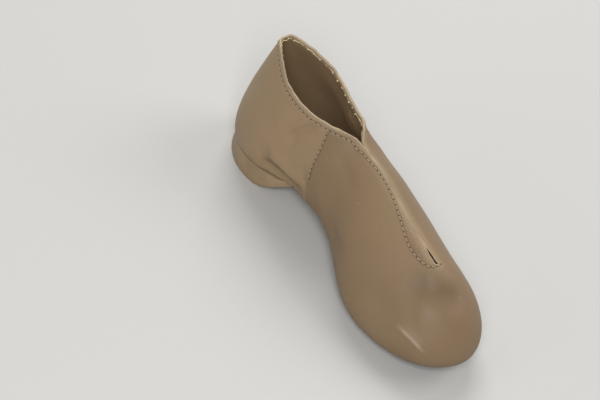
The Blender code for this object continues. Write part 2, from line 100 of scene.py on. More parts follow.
# A fold: route points are (forward, side, height) shares; side -1 is the inner side.
# width and depth are in mm, depth is negative for a trough; lean makes one flank steeper.
Fold = namedtuple("Fold", "name width depth lean route")
TOE_DENT_ROUTE = (
    (0.785, -0.55, 0.50), (0.829, -0.388, 0.563), (0.860, -0.247, 0.572),
    (0.887, -0.03, 0.553), (0.902, 0.32, 0.490),
)
FOLDS = (
    Fold("collar crease", 1.8, -1.9, 0.3,
         ((0.344, -0.325, 0.865), (0.322, -0.401, 0.813), (0.302, -0.475, 0.741),
          (0.286, -0.552, 0.653), (0.270, -0.625, 0.565))),
    Fold("collar crease top", 2.6, 1.0, -0.2,
         ((0.322, -0.350, 0.880), (0.308, -0.406, 0.835), (0.289, -0.476, 0.767),
          (0.268, -0.565, 0.670))),
    Fold("collar crease lip", 1.8, 1.1, -0.2,
         ((0.345, -0.345, 0.840), (0.320, -0.429, 0.774), (0.303, -0.502, 0.699),
          (0.283, -0.590, 0.600))),
    Fold("quarter fold", 1.9, -1.4, 0.3,
         ((0.345, -0.365, 0.810), (0.320, -0.449, 0.743), (0.303, -0.527, 0.659),
          (0.284, -0.610, 0.555))),
    Fold("outer collar flare", 8.0, 1.6, 0.0,
         ((0.090, 0.400, 0.920), (0.165, 0.440, 0.885), (0.241, 0.424, 0.850),
          (0.300, 0.360, 0.845), (0.356, 0.294, 0.845), (0.450, 0.080, 0.830))),
    Fold("quarter swell", 6.5, 0.6, 0.0,
         ((0.270, -0.57, 0.80), (0.240, -0.63, 0.72), (0.205, -0.67, 0.62))),
    Fold("waist tuck", 5.2, -3.8, 0.3,
         ((0.210, -0.80, 0.265), (0.262, -0.74, 0.275), (0.315, -0.66, 0.265), (0.378, -0.54, 0.24))),
    Fold("waist tuck lip", 3.0, 1.5, -0.3,
         ((0.228, -0.78, 0.40), (0.284, -0.69, 0.39), (0.325, -0.62, 0.365), (0.372, -0.53, 0.335))),
    Fold("quarter dent", 4.5, -1.0, 0.0,
         ((0.205, -0.79, 0.30), (0.232, -0.77, 0.37), (0.250, -0.74, 0.44))),
    Fold("toe dent", 7.5, -1.5, 0.2, TOE_DENT_ROUTE),
    Fold("toe box", 7.5, 1.0, 0.0,
         ((0.845, -0.62, 0.44), (0.862, -0.50, 0.49), (0.903, -0.282, 0.50),
          (0.928, 0.05, 0.475), (0.930, 0.30, 0.42))),
    Fold("toe ridge", 2.4, 0.7, 0.1,
         ((0.850, -0.785, 0.335), (0.886, -0.725, 0.33), (0.915, -0.665, 0.31), (0.950, -0.57, 0.26))),
    Fold("side trough", 7.0, -1.0, 0.0,
         ((0.725, -0.78, 0.42), (0.788, -0.83, 0.36), (0.850, -0.80, 0.31))),
    Fold("arch fold", 4.5, -0.8, 0.2,
         ((0.500, -0.56, 0.32), (0.565, -0.70, 0.34), (0.630, -0.81, 0.39))),
    Fold("arch swell", 6.0, 0.6, 0.0,
         ((0.500, -0.58, 0.42), (0.565, -0.70, 0.44), (0.630, -0.78, 0.48))),
    Fold("seam ridge", 2.8, 0.45, 0.0,
         ((0.405, -0.50, 0.56), (0.422, -0.53, 0.42), (0.460, -0.54, 0.33))),
    Fold("seam shadow", 2.2, -0.7, 0.3,
         ((0.352, -0.52, 0.52), (0.364, -0.545, 0.43), (0.385, -0.55, 0.34))),
    Fold("vamp ripple", 3.4, -0.5, 0.0,
         ((0.400, -0.36, 0.74), (0.450, -0.32, 0.72), (0.520, -0.38, 0.64))),
    Fold("outer crease", 3.4, -0.7, 0.2,
         ((0.318, 0.46, 0.82), (0.296, 0.56, 0.70), (0.272, 0.62, 0.58))),
    Fold("outer waist fold", 5.0, -0.9, 0.2,
         ((0.250, 0.78, 0.26), (0.330, 0.78, 0.30), (0.420, 0.80, 0.28))),
    Fold("outer side trough", 7.0, -0.6, 0.0,
         ((0.640, 0.93, 0.36), (0.720, 0.90, 0.38), (0.800, 0.80, 0.36))),
)
# Marks painted on the leather, each written as a fold, whose depth is the share of paleness, or below
# 0 of painted shade:
# a painted highlight on the toe ridge, a paler line on the tuck lip, and painted shade in hollows and
# low on the toe
MARKS = (
    # Painted highlight: a pale streak along the toe ridge
    Fold("painted highlight on the toe ridge", 0.80, 0.72, 0.0,
         ((0.852, -0.775, 0.333), (0.868, -0.755, 0.330), (0.903, -0.69, 0.316),
          (0.938, -0.61, 0.277), (0.950, -0.575, 0.255))),
    # Paler along the lip of the waist tuck
    Fold("paler line along the tuck lip", 0.9, 0.22, 0.0,
         ((0.236, -0.76, 0.385), (0.284, -0.68, 0.375), (0.320, -0.62, 0.355), (0.360, -0.55, 0.33))),
    # Painted shade in the hollow of the waist tuck, under its lip
    Fold("painted shade in the tuck", 3.4, -0.60, 0.0,
         ((0.225, -0.77, 0.315), (0.262, -0.721, 0.311), (0.305, -0.643, 0.312),
          (0.349, -0.562, 0.300), (0.385, -0.52, 0.28))),
    # Painted shade low round the toe, just above the sole
    Fold("painted shade low on the toe", 5.0, -0.20, 0.0,
         ((0.840, -0.75, 0.18), (0.920, -0.55, 0.17), (0.975, -0.20, 0.17), (0.985, 0.15, 0.17))),
    # Painted shade along the toe dent
    Fold("painted shade in the toe dent", 8.5, -0.50, 0.0, TOE_DENT_ROUTE),
)
# Points along a fold, the share of it that fades at each end, and how far it acts sideways and
# up or down, in widths
FOLD_SAMPLES = 36
FOLD_FADE = 0.3
FOLD_REACH = 2.8
FOLD_RISE = 2.2

# Stitch row along the throat and round its end, each place as (forward, out): out is the distance
# from the slit's middle towards the inner side in mm
THROAT_ROW = (
    (0.4280, 3.30), (0.4505, 2.50), (0.4690, 2.30), (0.5040, 2.05), (0.5380, 1.85), (0.5600, 1.80),
    (0.5900, 2.15), (0.6070, 2.50), (0.6230, 3.00), (0.6390, 3.60), (0.6560, 4.20), (0.6750, 5.00),
    (0.6920, 5.75), (0.7075, 6.40), (0.7240, 6.80), (0.7400, 6.90), (0.7556, 6.75), (0.7690, 6.40),
    (0.7845, 5.60), (0.7960, 4.80), (0.8040, 3.50), (0.8085, 1.80), (0.8095, 0.20), (0.8076, -1.50),
)
# The collar's row: how far below the rim, and which of its places are kept, so that it meets the
# throat's row
COLLAR_ROW_DROP = 2.1 * MM
COLLAR_PLACES = slice(10, -4, 8)
# Stitch row of the side seam, from the collar down, each place as (forward, height), and where
# the seam ends at the sole, below the last stitch that shows
SEAM_ROW = (
    (0.3560, 0.850), (0.3620, 0.790), (0.3660, 0.735), (0.3685, 0.690),
    (0.3703, 0.640), (0.3722, 0.580), (0.3770, 0.505), (0.3815, 0.460),
)
SEAM_FOOT = (0.392, 0.20)
# Points along the row round the collar and throat, and along a seam
EDGE_SAMPLES = 1100
SEAM_SAMPLES = 160
# Steps from one point of a smooth line to the next, before it is evened out
CUBIC_STEPS = 12

# Colours that lie over the leather's own: painted shade in hollows, pale wear with a painted highlight
# on the upper, wear on the board, painted shade in the groove along the stitches, and the lining's
# pale strip at the rim
PAINTED_SHADE = (0.115, 0.070, 0.036)
WEAR_AND_HIGHLIGHT = (0.50, 0.385, 0.30)
RUBBED_BOARD = (0.50, 0.40, 0.30)
GROOVE_SHADE = (0.19, 0.130, 0.080)
PALE_STRIP = (0.92, 0.80, 0.60)
# Lengths in metres: how far the pale edge runs into the leather, the width of the groove, and one
# gather
EDGE_GLOW = 0.0040
GROOVE_WIDTH = 0.0011
GATHER_LENGTH = 0.0014
# Inside, in metres: where the turned-in leather and the pale strip each end, fading between two
# depths below the rim, and how far both of these edges wander
TURN_IN = (0.0082, 0.0090)
STRIP = (0.0022, 0.0026)
WANDER = 0.0022
# The values of a patch mask and of a fine noise between which the roughness changes
PATCH_SPAN = (0.25, 0.75)
FUZZ_SPAN = (0.3, 0.7)

# Lights: where each stands and its size in metres, its power in watts and its colour
Lamp = namedtuple("Lamp", "name place size power colour")
LAMPS = (
    Lamp("key light", (0.50, 0.85, 0.95), (0.8, 0.8), 13.0, (1.0, 0.98, 0.95)),
    Lamp("overhead light", (-0.55, 0.70, 1.10), (0.9, 0.6), 1.2, (0.97, 0.97, 1.0)),
    Lamp("side light", (-1.10, 0.30, 0.50), (0.5, 0.35), 1.0, (1.0, 0.98, 0.97)),
    Lamp("right light", (0.90, -0.30, 0.90), (0.8, 0.8), 5.8, (1.0, 0.98, 0.97)),
    Lamp("front fill", (-0.60, -0.54, 0.88), (0.5, 0.5), 8.8, (1.0, 0.98, 0.97)),
)


# Settings that a user may change


def colour_setting(name, description, default):
    return FloatVectorProperty(
        name=name, description=description, default=default, subtype="COLOR", min=0.0, max=1.0
    )


def length_setting(name, description, default, most):
    return FloatProperty(
        name=name,
        description=description,
        default=default,
        min=0.0,
        max=most,
        precision=4,
        subtype="DISTANCE",
        unit="LENGTH",
    )


class ShoeColours(bpy.types.PropertyGroup):
    """Colours of the leather, the lining, the thread and the soles"""

    leather: colour_setting("Leather", "Main colour of the upper", (0.318, 0.222, 0.126))
    leather_warm: colour_setting(
        "Warm patches", "Pinker patches of the upper", (0.323, 0.221, 0.129)
    )
    leather_dull: colour_setting(
        "Dull patches", "Greener patches of the upper", (0.307, 0.220, 0.122)
    )
    # Painted shade: the vamp's colour is made darker than the quarters', to stand for the shade it
    # lies in
    vamp: colour_setting(
        "Vamp", "Colour of the vamp, as a share of the quarters' colours", (0.765, 0.74, 0.735)
    )
    edge: colour_setting("Rolled edge", "Colour of the folded collar edge", (0.375, 0.285, 0.178))
    fringe: colour_setting(
        "Lining edge", "Colour of the lining's ragged edge", (0.78, 0.66, 0.44)
    )
    lining: colour_setting("Lining", "Colour of the lining", (0.63, 0.475, 0.435))
    # Partly painted light: the turned-in leather is its own yellow-tan, made pale to stand also for
    # the light on the top of the inner wall
    turn_in_with_light: colour_setting(
        "Turn-in", "Colour of the leather turned in under the collar", (0.90, 0.76, 0.54)
    )
    thread: colour_setting("Thread", "Colour of the sewing thread", (0.45, 0.36, 0.245))
    needle_hole: colour_setting("Needle holes", "Colour in the holes", (0.095, 0.062, 0.040))
    elastic: colour_setting("Elastic", "Colour of the gusset", (0.15, 0.070, 0.048))
    sock: colour_setting("Sock", "Colour of the insole", (0.62, 0.54, 0.47))
    suede: colour_setting("Suede", "Colour of the forefoot sole", (0.060, 0.045, 0.038))
    heel: colour_setting("Heel", "Colour of the heel block", (0.318, 0.226, 0.134))


class ShoeSizes(bpy.types.PropertyGroup):
    """Sizes of the grain, the edge, the stitches and the folds"""

    grain: length_setting("Grain", "Size of one grain cell of the leather", 0.0008, 0.01)
    edge_radius: length_setting("Edge radius", "Radius of the rolled edge", 0.00070, 0.003)
    stitch_pitch: length_setting("Stitch pitch", "Distance between needle holes", 0.0029, 0.01)
    thread_radius: length_setting("Thread radius", "Radius of the thread", 0.00021, 0.001)
    hole_radius: length_setting("Hole radius", "Radius of a needle hole", 0.00042, 0.002)
    fold_strength: FloatProperty(
        name="Fold strength",
        description="How deep the hand-placed folds are, 1 as on the shoe",
        default=1.0,
        min=0.0,
        max=2.0,
        subtype="FACTOR",
    )


class ShoeStage(bpy.types.PropertyGroup):
    """The floor, the light and the lens"""

    floor: colour_setting("Floor", "Colour of the floor", (0.545, 0.55, 0.54))
    floor_size: length_setting("Floor size", "Side of the floor", 6.0, 20.0)
    light_share: FloatProperty(
        name="Light",
        description="Power of the lamps, 1 as set up",
        default=1.0,
        min=0.0,
        max=10.0,
        subtype="FACTOR",
    )
    camera_lens: FloatProperty(
        name="Lens", description="Focal length", default=106.84, min=10, max=300, unit="CAMERA"
    )


class ShoeSettings(bpy.types.PropertyGroup):
    """All that a user may change"""

    colours: PointerProperty(type=ShoeColours)
    sizes: PointerProperty(type=ShoeSizes)
    stage: PointerProperty(type=ShoeStage)


# Places on the shoe


def forward_of(y):
    """How far forward a place lies, as a share of the shoe's length from the heel."""
    return (CAD_HIGH.y - y) / SHOE_LENGTH


def on_stretch(stretch, forward):
    """1 on the stretch, falling to 0 at its two ends."""
    coming = np.clip((forward - stretch.start) / stretch.rise, 0, 1)
    return coming * np.clip((stretch.end - forward) / stretch.fall, 0, 1)


def spot(forward, side, height):
    """A place in the frame from shares of the shoe's length, half width and height."""
    return Vector(
        (
            side * SHOE_HALF_WIDTH,
            CAD_HIGH.y - forward * SHOE_LENGTH,
            CAD_LOW.z + height * SHOE_HEIGHT,
        )
    )


def smooth_line(points, count):
    """A smooth line through all the points, evenly spaced.

    Between two points it is a cubic whose slope at each is taken from that point's neighbours.
    """
    points = np.asarray(points, float)
    padded = np.vstack([2 * points[0] - points[1], points, 2 * points[-1] - points[-2]])
    fine = []
    for a, b, c, d in zip(padded, padded[1:], padded[2:], padded[3:]):
        square = 2 * a - 5 * b + 4 * c - d
        cube = 3 * b - a - 3 * c + d
        for t in np.linspace(0, 1, CUBIC_STEPS, endpoint=False):
            fine.append(0.5 * (2 * b + (c - a) * t + square * t**2 + cube * t**3))
    fine.append(points[-1])
    return even_line(np.array(fine), count)


def even_line(points, count):
    """The same line with that many points, evenly spaced along it, both ends kept."""
    run = np.concatenate([[0], np.cumsum(np.linalg.norm(np.diff(points, axis=0), axis=1))])
    at = np.linspace(0, run[-1], count)
    return np.column_stack([np.interp(at, run, points[:, axis]) for axis in range(3)])


def line_length(points):
    return float(np.linalg.norm(np.diff(points, axis=0), axis=1).sum())


# The upper's solid, read as outside, rim and inside


def merged_copy(node):
    """A CAD node's mesh with its loose triangles welded and its flat pairs made quads."""
    mesh = bmesh.new()
    mesh.from_mesh(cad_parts[node].data)
    bmesh.ops.remove_doubles(mesh, verts=mesh.verts, dist=WELD)
    bmesh.ops.join_triangles(
        mesh,
        faces=mesh.faces,
        angle_face_threshold=FLAT_PAIR,
        angle_shape_threshold=PAIR_SHAPE,
    )
    mesh.faces.ensure_lookup_table()
    mesh.verts.ensure_lookup_table()
    return mesh


def split_upper(mesh):
    """Sorts the upper's faces into outside, inside and rim, by the sharp edges between them."""
    group_of = {}
    groups = []
    for seed in mesh.faces:
        if seed in group_of:
            continue
        group_of[seed] = len(groups)
        waiting = [seed]
        members = []
        while waiting:
            face = waiting.pop()
            members.append(face)
            for edge in face.edges:
                if edge.calc_face_angle(0.0) > RIM_ANGLE:
                    continue
                for other in edge.link_faces:
                    if other not in group_of:
                        group_of[other] = len(groups)
                        waiting.append(other)
        groups.append(members)
    groups.sort(key=lambda members: -sum(face.calc_area() for face in members))
    kinds = {}
    for place, members in enumerate(groups):
        kind = ("outside", "inside")[place] if place < 2 else "rim"
        if place > 1 and max(face.calc_center_median().z for face in members) < UNDER_RIM:
            # A sharply turned patch under the foot, which belongs to the wall's own side
            facing = sum(face.normal.z * face.calc_area() for face in members)
            kind = "outside" if facing < 0 else "inside"
        for face in members:
            kinds[face] = kind
    if "rim" not in kinds.values():
        raise ValueError("the upper's rim isn't sharp all round, so it can't be found")
    return kinds


def loop_between(mesh, kinds, kind):
    """The points, in order, of the loop of edges where the rim meets the outside or inside."""
    next_to = {}
    for edge in mesh.edges:
        if {kinds[face] for face in edge.link_faces} == {kind, "rim"}:
            for a, b in (edge.verts, reversed(edge.verts)):
                next_to.setdefault(a, []).append(b)
    start = min(next_to, key=lambda vert: vert.co.y)
    ahead = max(next_to[start], key=lambda vert: vert.co.x)
    loop = [start]
    last = start
    here = ahead
    while here is not start:
        loop.append(here)
        onward = [vert for vert in next_to[here] if vert is not last]
        last = here
        here = onward[0]
    return np.array([vert.co[:] for vert in loop])


def rim_middle():
    """The middle of the rim, all round: from the slit's end back along the outer side."""
    mesh = merged_copy("upper")
    kinds = split_upper(mesh)
    outer = loop_between(mesh, kinds, "outside")
    inner = loop_between(mesh, kinds, "inside")
    mesh.free()
    gaps = np.linalg.norm(outer[:, None] - inner[None], axis=2)
    middle = (outer + inner[gaps.argmin(axis=1)]) / 2
    return np.vstack([middle, middle[:1]])


# Folds


def outside_tree():
    """A tree of the upper solid's outside faces, to lay things on."""
    mesh = merged_copy("upper")
    kinds = split_upper(mesh)
    verts = [vert.co.copy() for vert in mesh.verts]
    faces = [
        [vert.index for vert in face.verts] for face in mesh.faces if kinds[face] == "outside"
    ]
    mesh.free()
    return BVHTree.FromPolygons(verts, faces)


def fold_line(fold, tree):
    """Points of a fold on the outside, with the outward and the cross direction at each."""
    line = smooth_line([spot(*place) for place in fold.route], FOLD_SAMPLES)
    on_shoe = []
    outward = []
    for point in line:
        place, normal, _, _ = tree.find_nearest(Vector(point))
        on_shoe.append(place[:])
        outward.append(normal[:])
    on_shoe = np.array(on_shoe)
    outward = np.array(outward)
    for _ in range(4):
        outward[1:-1] = (outward[:-2] + 2 * outward[1:-1] + outward[2:]) / 4
        on_shoe[1:-1] = (on_shoe[:-2] + 2 * on_shoe[1:-1] + on_shoe[2:]) / 4
    outward /= np.linalg.norm(outward, axis=1)[:, None]
    across = np.cross(np.gradient(on_shoe, axis=0), outward)
    across /= np.linalg.norm(across, axis=1)[:, None]
    return on_shoe, outward, across


def end_fade(nearest):
    """How strong a fold or a mark is at each of its points, 0 at both ends."""
    run = nearest / (FOLD_SAMPLES - 1)
    return np.clip(np.minimum(run, 1 - run) / FOLD_FADE, 0, 1)


def folded(points, lines, strength):
    """The points moved by every fold, inside and outside of the wall alike."""
    moved = points.copy()
    for fold, (line, outward, across) in lines:
        width = fold.width * MM
        low = line.min(axis=0) - FOLD_REACH * width
        high = line.max(axis=0) + FOLD_REACH * width
        near = np.flatnonzero(((points > low) & (points < high)).all(axis=1))
        if not len(near):
            continue
        away = points[near][:, None] - line[None]
        distance = np.linalg.norm(away, axis=2)
        nearest = distance.argmin(axis=1)
        pick = np.arange(len(near))
        away = away[pick, nearest]
        out = outward[nearest]
        rise = (away * out).sum(axis=1)
        flat = np.linalg.norm(away - rise[:, None] * out, axis=1)
        side = np.sign((away * across[nearest]).sum(axis=1))
        flank = width * (1 + fold.lean * side)
        fade = end_fade(nearest)
        fade = fade * fade * (3 - 2 * fade)
        height = fold.depth * MM * strength * np.exp(-((flat / flank) ** 2)) * fade
        height[np.abs(rise) > FOLD_RISE * width] = 0
        moved[near] += height[:, None] * out
    return moved


def all_fold_lines(tree):
    return [(fold, fold_line(fold, tree)) for fold in FOLDS]


# Making and placing pieces


def add_piece(mesh, materials, slot, *stands_for):
    """Makes the mesh a piece of the shoe that rides on its body."""
    old = bpy.data.objects.get(mesh.name)
    if old is not None:
        bpy.data.objects.remove(old)
    piece = bpy.data.objects.new(mesh.name, mesh)
    bpy.context.scene.collection.objects.link(piece)
    mesh.materials.clear()
    for material in materials:
        mesh.materials.append(material)
    mesh.polygons.foreach_set("use_smooth", [True] * len(mesh.polygons))
    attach(piece, BODY)
    if stands_for:
        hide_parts(*stands_for)
    return piece


def refined(source, name, levels):
    """A subdivided mesh of a bmesh, with the modifier applied."""
    mesh = bpy.data.meshes.new(name + "_cage")
    source.to_mesh(mesh)
    source.free()
    cage = bpy.data.objects.new(name + "_cage", mesh)
    bpy.context.scene.collection.objects.link(cage)
    smoother = cage.modifiers.new("smooth", "SUBSURF")
    smoother.levels = levels
    smoother.render_levels = levels
    bpy.context.view_layer.update()
    shaped = cage.evaluated_get(bpy.context.evaluated_depsgraph_get())
    result = bpy.data.meshes.new_from_object(shaped)
    result.name = name
    bpy.data.objects.remove(cage)
    bpy.data.meshes.remove(mesh)
    return result


def tube_mesh(name, strands, radius, round_steps):
    """A mesh of round tubes along strands, each (points, radius shares, closed)."""
    data = bpy.data.curves.new(name + "_path", "CURVE")
    data.dimensions = "3D"
    data.bevel_depth = radius
    data.bevel_resolution = round_steps
    data.use_fill_caps = True
    for points, shares, closed in strands:
        spline = data.splines.new("POLY")
        spline.points.add(len(points) - 1)
        flat = np.column_stack([points, np.ones(len(points))])
        spline.points.foreach_set("co", flat.ravel())
        spline.points.foreach_set("radius", shares)
        spline.use_cyclic_u = closed
    path = bpy.data.objects.new(name + "_path", data)
    bpy.context.scene.collection.objects.link(path)
    bpy.context.view_layer.update()
    mesh = bpy.data.meshes.new_from_object(
        path.evaluated_get(bpy.context.evaluated_depsgraph_get())
    )
    mesh.name = name
    bpy.data.objects.remove(path)
    bpy.data.curves.remove(data)
    return mesh


def points_of(mesh):
    flat = np.empty(len(mesh.vertices) * 3)
    mesh.vertices.foreach_get("co", flat)
    return flat.reshape(-1, 3)


def keep_number(mesh, name, values):
    """Stores one number a vertex, for materials to read."""
    attribute = mesh.attributes.new(name, "FLOAT", "POINT")
    attribute.data.foreach_set("value", values.astype(np.float32))


def nearest_on(points, line, chunk=4000):
    """For each point: the index of the nearest point of the line, and its distance."""
    index = np.empty(len(points), int)
    distance = np.empty(len(points))
    for start in range(0, len(points), chunk):
        part = slice(start, start + chunk)
        gap = np.linalg.norm(points[part][:, None] - line[None], axis=2)
        index[part] = gap.argmin(axis=1)
        distance[part] = gap.min(axis=1)
    return index, distance


# Stitch rows


def slit_side(rim, y):
    """The slit's middle across the shoe at each y."""
    slit = rim[forward_of(rim[:, 1]) > SLIT_READ_FROM]
    half = len(slit) // 2
    outer = slit[:half][np.argsort(slit[:half, 1])]
    inner = slit[half:][np.argsort(slit[half:, 1])]
    sides = [np.interp(y, side[:, 1], side[:, 0]) for side in (outer, inner)]
    return (sides[0] + sides[1]) / 2


def throat_row(rim, tree):
    """The throat's stitch row on its inner side, from the collar round the slit's end.

    Each place is found from above the shoe, straight down.
    """
    row = []
    for forward, out in THROAT_ROW:
        place = spot(forward, 0, 1.2)
        x = slit_side(rim, place.y) - out * MM
        hit, _, _, _ = tree.ray_cast(Vector((x, place.y, place.z)), Vector((0, 0, -1)))
        row.append(hit[:])
    return np.array(row)


def collar_row(rim, tree):
    """The collar's stitch row, below the rim, from the outer side round to the inner."""
    back = rim[forward_of(rim[:, 1]) < THROAT_START]
    along = np.gradient(back, axis=0)
    row = []
    for point, ahead in zip(back, along):
        _, normal, _, _ = tree.find_nearest(Vector(point))
        down = Vector(ahead).cross(normal).normalized()
        if down.z > 0:
            down = -down
        place, _, _, _ = tree.find_nearest(Vector(point) + down * COLLAR_ROW_DROP)
        row.append(place[:])
    return np.array(row)


def seam_row(tree, side):
    """The side seam's stitch row, from the collar down, found from beside the shoe."""
    row = []
    for forward, height in SEAM_ROW:
        place = spot(forward, 2 * side, height)
        hit, _, _, _ = tree.ray_cast(place, Vector((-side, 0, 0)))
        row.append(hit[:])
    return np.array(row)


def stitch_rows(rim, tree):
    """The rows: round the collar and down the throat, then the inner and the outer seam."""
    edge_row = np.vstack([collar_row(rim, tree)[COLLAR_PLACES], throat_row(rim, tree)])
    return [
        smooth_line(edge_row, EDGE_SAMPLES),
        smooth_line(seam_row(tree, -1), SEAM_SAMPLES),
        smooth_line(seam_row(tree, 1), SEAM_SAMPLES),
    ]


def row_away(row, tree, rim):
    """At each point of a row, the direction on the surface that leads away from the rim."""
    along = np.gradient(row, axis=0)
    nearest, _ = nearest_on(row, rim)
    away = []
    for point, ahead, edge in zip(row, along, rim[nearest]):
        _, normal, _, _ = tree.find_nearest(Vector(point))
        side = Vector(ahead).cross(normal).normalized()
        if side.dot(Vector(point - edge)) < 0:
            side = -side
        away.append(side[:])
    return np.array(away)


# Shader parts shared by the materials


def put(tree, kind, values=None, **settings):
    """A new shader node with its settings and its constant inputs."""
    node = tree.nodes.new(kind)
    for key, value in settings.items():
        setattr(node, key, value)
    for key, value in (values or {}).items():
        node.inputs[key].default_value = value
    return node


def maths(tree, operation, values=None, **settings):
    """One step of arithmetic on its inputs; a value that is given stays constant."""
    return put(tree, "ShaderNodeMath", values, operation=operation, **settings)


def ramp(tree, low, high, start=0.0, end=1.0, **settings):
    """Takes low to high over into start to end, and holds it there beyond them."""
    span = {1: low, 2: high, 3: start, 4: end}
    return put(tree, "ShaderNodeMapRange", span, **settings)


def rgba(colour):
    return (*colour, 1.0)


def blend(tree, over=None, under=None, **settings):
    """One colour over another by a mask; a colour that is given stays constant.

    Its mask is socket 0, the colours are sockets 6 and 7, and the result is output 2.
    """
    colours = {}
    if under is not None:
        colours[6] = rgba(under)
    if over is not None:
        colours[7] = rgba(over)
    return put(tree, "ShaderNodeMix", colours, data_type="RGBA", **settings)


def join(tree, *pairs):
    """Links (node, output, node, input) in turn."""
    for source, output, target, socket in pairs:
        tree.links.new(source.outputs[output], target.inputs[socket])


def new_group(name, inputs, outputs):
    """An empty node group with named sockets, and the nodes that its values come and go by.

    Where the group was made before, these two nodes are None.
    """
    group = bpy.data.node_groups.get(name)
    if group is not None:
        return group, None, None
    group = bpy.data.node_groups.new(name, "ShaderNodeTree")
    for socket, kind, default in inputs:
        made = group.interface.new_socket(socket, in_out="INPUT", socket_type=kind)
        if default is not None:
            made.default_value = default
    for socket, kind in outputs:
        group.interface.new_socket(socket, in_out="OUTPUT", socket_type=kind)
    return group, put(group, "NodeGroupInput"), put(group, "NodeGroupOutput")


def grain_group():
    """Fine leather grain: small cells with pores, as a height from 0 to 1."""
    group, come, go = new_group(
        "leather_grain",
        (("Place", "NodeSocketVector", None), ("Cell", "NodeSocketFloat", 0.0008)),
        (("Height", "NodeSocketFloat"),),
    )
    if come is None:
        return group
    per_metre = maths(group, "DIVIDE", {0: 1.0})
    cells = put(group, "ShaderNodeTexVoronoi", feature="DISTANCE_TO_EDGE")
    rough = put(group, "ShaderNodeTexNoise", {"Detail": 3.0, "Roughness": 0.6})
    flat = maths(group, "MINIMUM", {1: 0.22})
    lift = maths(group, "MULTIPLY", {1: 3.0})
    mixed = maths(group, "MULTIPLY_ADD", {1: 0.45})
    join(
        group,
        (come, "Cell", per_metre, 1),
        (come, "Place", cells, "Vector"),
        (come, "Place", rough, "Vector"),
        (per_metre, 0, cells, "Scale"),
        (per_metre, 0, rough, "Scale"),
        (cells, "Distance", flat, 0),
        (flat, 0, lift, 0),
        (rough, 0, mixed, 0),
        (lift, 0, mixed, 2),
        (mixed, 0, go, "Height"),
    )
    return group


def patch_group():
    """Soft patches: a first colour, with a second and a third coming through in places."""
    group, come, go = new_group(
        "soft_patches",
        (
            ("Place", "NodeSocketVector", None),
            ("Patch", "NodeSocketFloat", 0.03),
            ("Main", "NodeSocketColor", None),
            ("Second", "NodeSocketColor", None),
            ("Third", "NodeSocketColor", None),
        ),
        (("Color", "NodeSocketColor"), ("Mask", "NodeSocketFloat")),
    )
    if come is None:
        return group
    per_metre = maths(group, "DIVIDE", {0: 1.0})
    wide = put(group, "ShaderNodeTexNoise", {"Detail": 2.0, "Roughness": 0.5})
    shifted = put(group, "ShaderNodeVectorMath", {1: (3.1, 1.7, 5.3)}, operation="ADD")
    other = put(group, "ShaderNodeTexNoise", {"Detail": 2.0, "Roughness": 0.5})
    ramp_a = ramp(group, 0.42, 0.66)
    ramp_b = ramp(group, 0.45, 0.68)
    first = blend(group)
    second = blend(group)
    join(
        group,
        (come, "Patch", per_metre, 1),
        (come, "Place", wide, "Vector"),
        (come, "Place", shifted, 0),
        (shifted, 0, other, "Vector"),
        (per_metre, 0, wide, "Scale"),
        (per_metre, 0, other, "Scale"),
        (wide, 0, ramp_a, 0),
        (other, 0, ramp_b, 0),
        (ramp_a, 0, first, 0),
        (come, "Main", first, 6),
        (come, "Second", first, 7),
        (ramp_b, 0, second, 0),
        (first, 2, second, 6),
        (come, "Third", second, 7),
        (second, 2, go, "Color"),
        (wide, 0, go, "Mask"),
    )
    return group


def scuff_group():
    """Thin scuffs and rubbed specks, as a mask from 0 to 1."""
    group, come, go = new_group(
        "scuffs",
        (("Place", "NodeSocketVector", None), ("Amount", "NodeSocketFloat", 0.5)),
        (("Mask", "NodeSocketFloat"),),
    )
    if come is None:
        return group
    stretched = put(
        group,
        "ShaderNodeMapping",
        {"Rotation": (0.3, 0.2, 0.9), "Scale": (900.0, 220.0, 500.0)},
    )
    marks = put(group, "ShaderNodeTexNoise", {"Scale": 1.0, "Detail": 3.0, "Roughness": 0.65})
    thin = ramp(group, 0.64, 0.74)
    where = put(group, "ShaderNodeTexNoise", {"Scale": 45.0, "Detail": 1.0})
    zone = ramp(group, 0.50, 0.66)
    both = maths(group, "MULTIPLY")
    scaled = maths(group, "MULTIPLY")
    join(
        group,
        (come, "Place", stretched, "Vector"),
        (stretched, 0, marks, "Vector"),
        (come, "Place", where, "Vector"),
        (marks, 0, thin, 0),
        (where, 0, zone, 0),
        (thin, 0, both, 0),
        (zone, 0, both, 1),
        (both, 0, scaled, 0),
        (come, "Amount", scaled, 1),
        (scaled, 0, go, "Mask"),
    )
    return group


def rib_group():
    """Woven ribs crossed by fine threads, as a height from 0 to 1."""
    group, come, go = new_group(
        "woven_ribs",
        (
            ("Place", "NodeSocketVector", None),
            ("Rib", "NodeSocketFloat", 0.0012),
            ("Thread", "NodeSocketFloat", 0.0005),
        ),
        (("Height", "NodeSocketFloat"),),
    )
    if come is None:
        return group
    parts = put(group, "ShaderNodeSeparateXYZ")
    join(group, (come, "Place", parts, 0))
    waves = []
    for axis, size in (("Y", "Rib"), ("X", "Thread")):
        turns = maths(group, "DIVIDE")
        angle = maths(group, "MULTIPLY", {1: math.tau})
        wave = maths(group, "SINE")
        join(
            group,
            (parts, axis, turns, 0),
            (come, size, turns, 1),
            (turns, 0, angle, 0),
            (angle, 0, wave, 0),
        )
        waves.append(wave)
    crossed = maths(group, "MULTIPLY_ADD", {1: 0.35, 2: 0.5})
    total = maths(group, "MULTIPLY_ADD", {1: 0.5})
    join(
        group,
        (waves[1], 0, crossed, 0),
        (waves[0], 0, total, 0),
        (crossed, 0, total, 2),
        (total, 0, go, "Height"),
    )
    return group


def use_group(tree, place, group, values):
    """Places a node group in a material, read at Object coordinates."""
    node = put(tree, "ShaderNodeGroup", values, node_tree=group)
    join(tree, (place, "Object", node, "Place"))
    return node


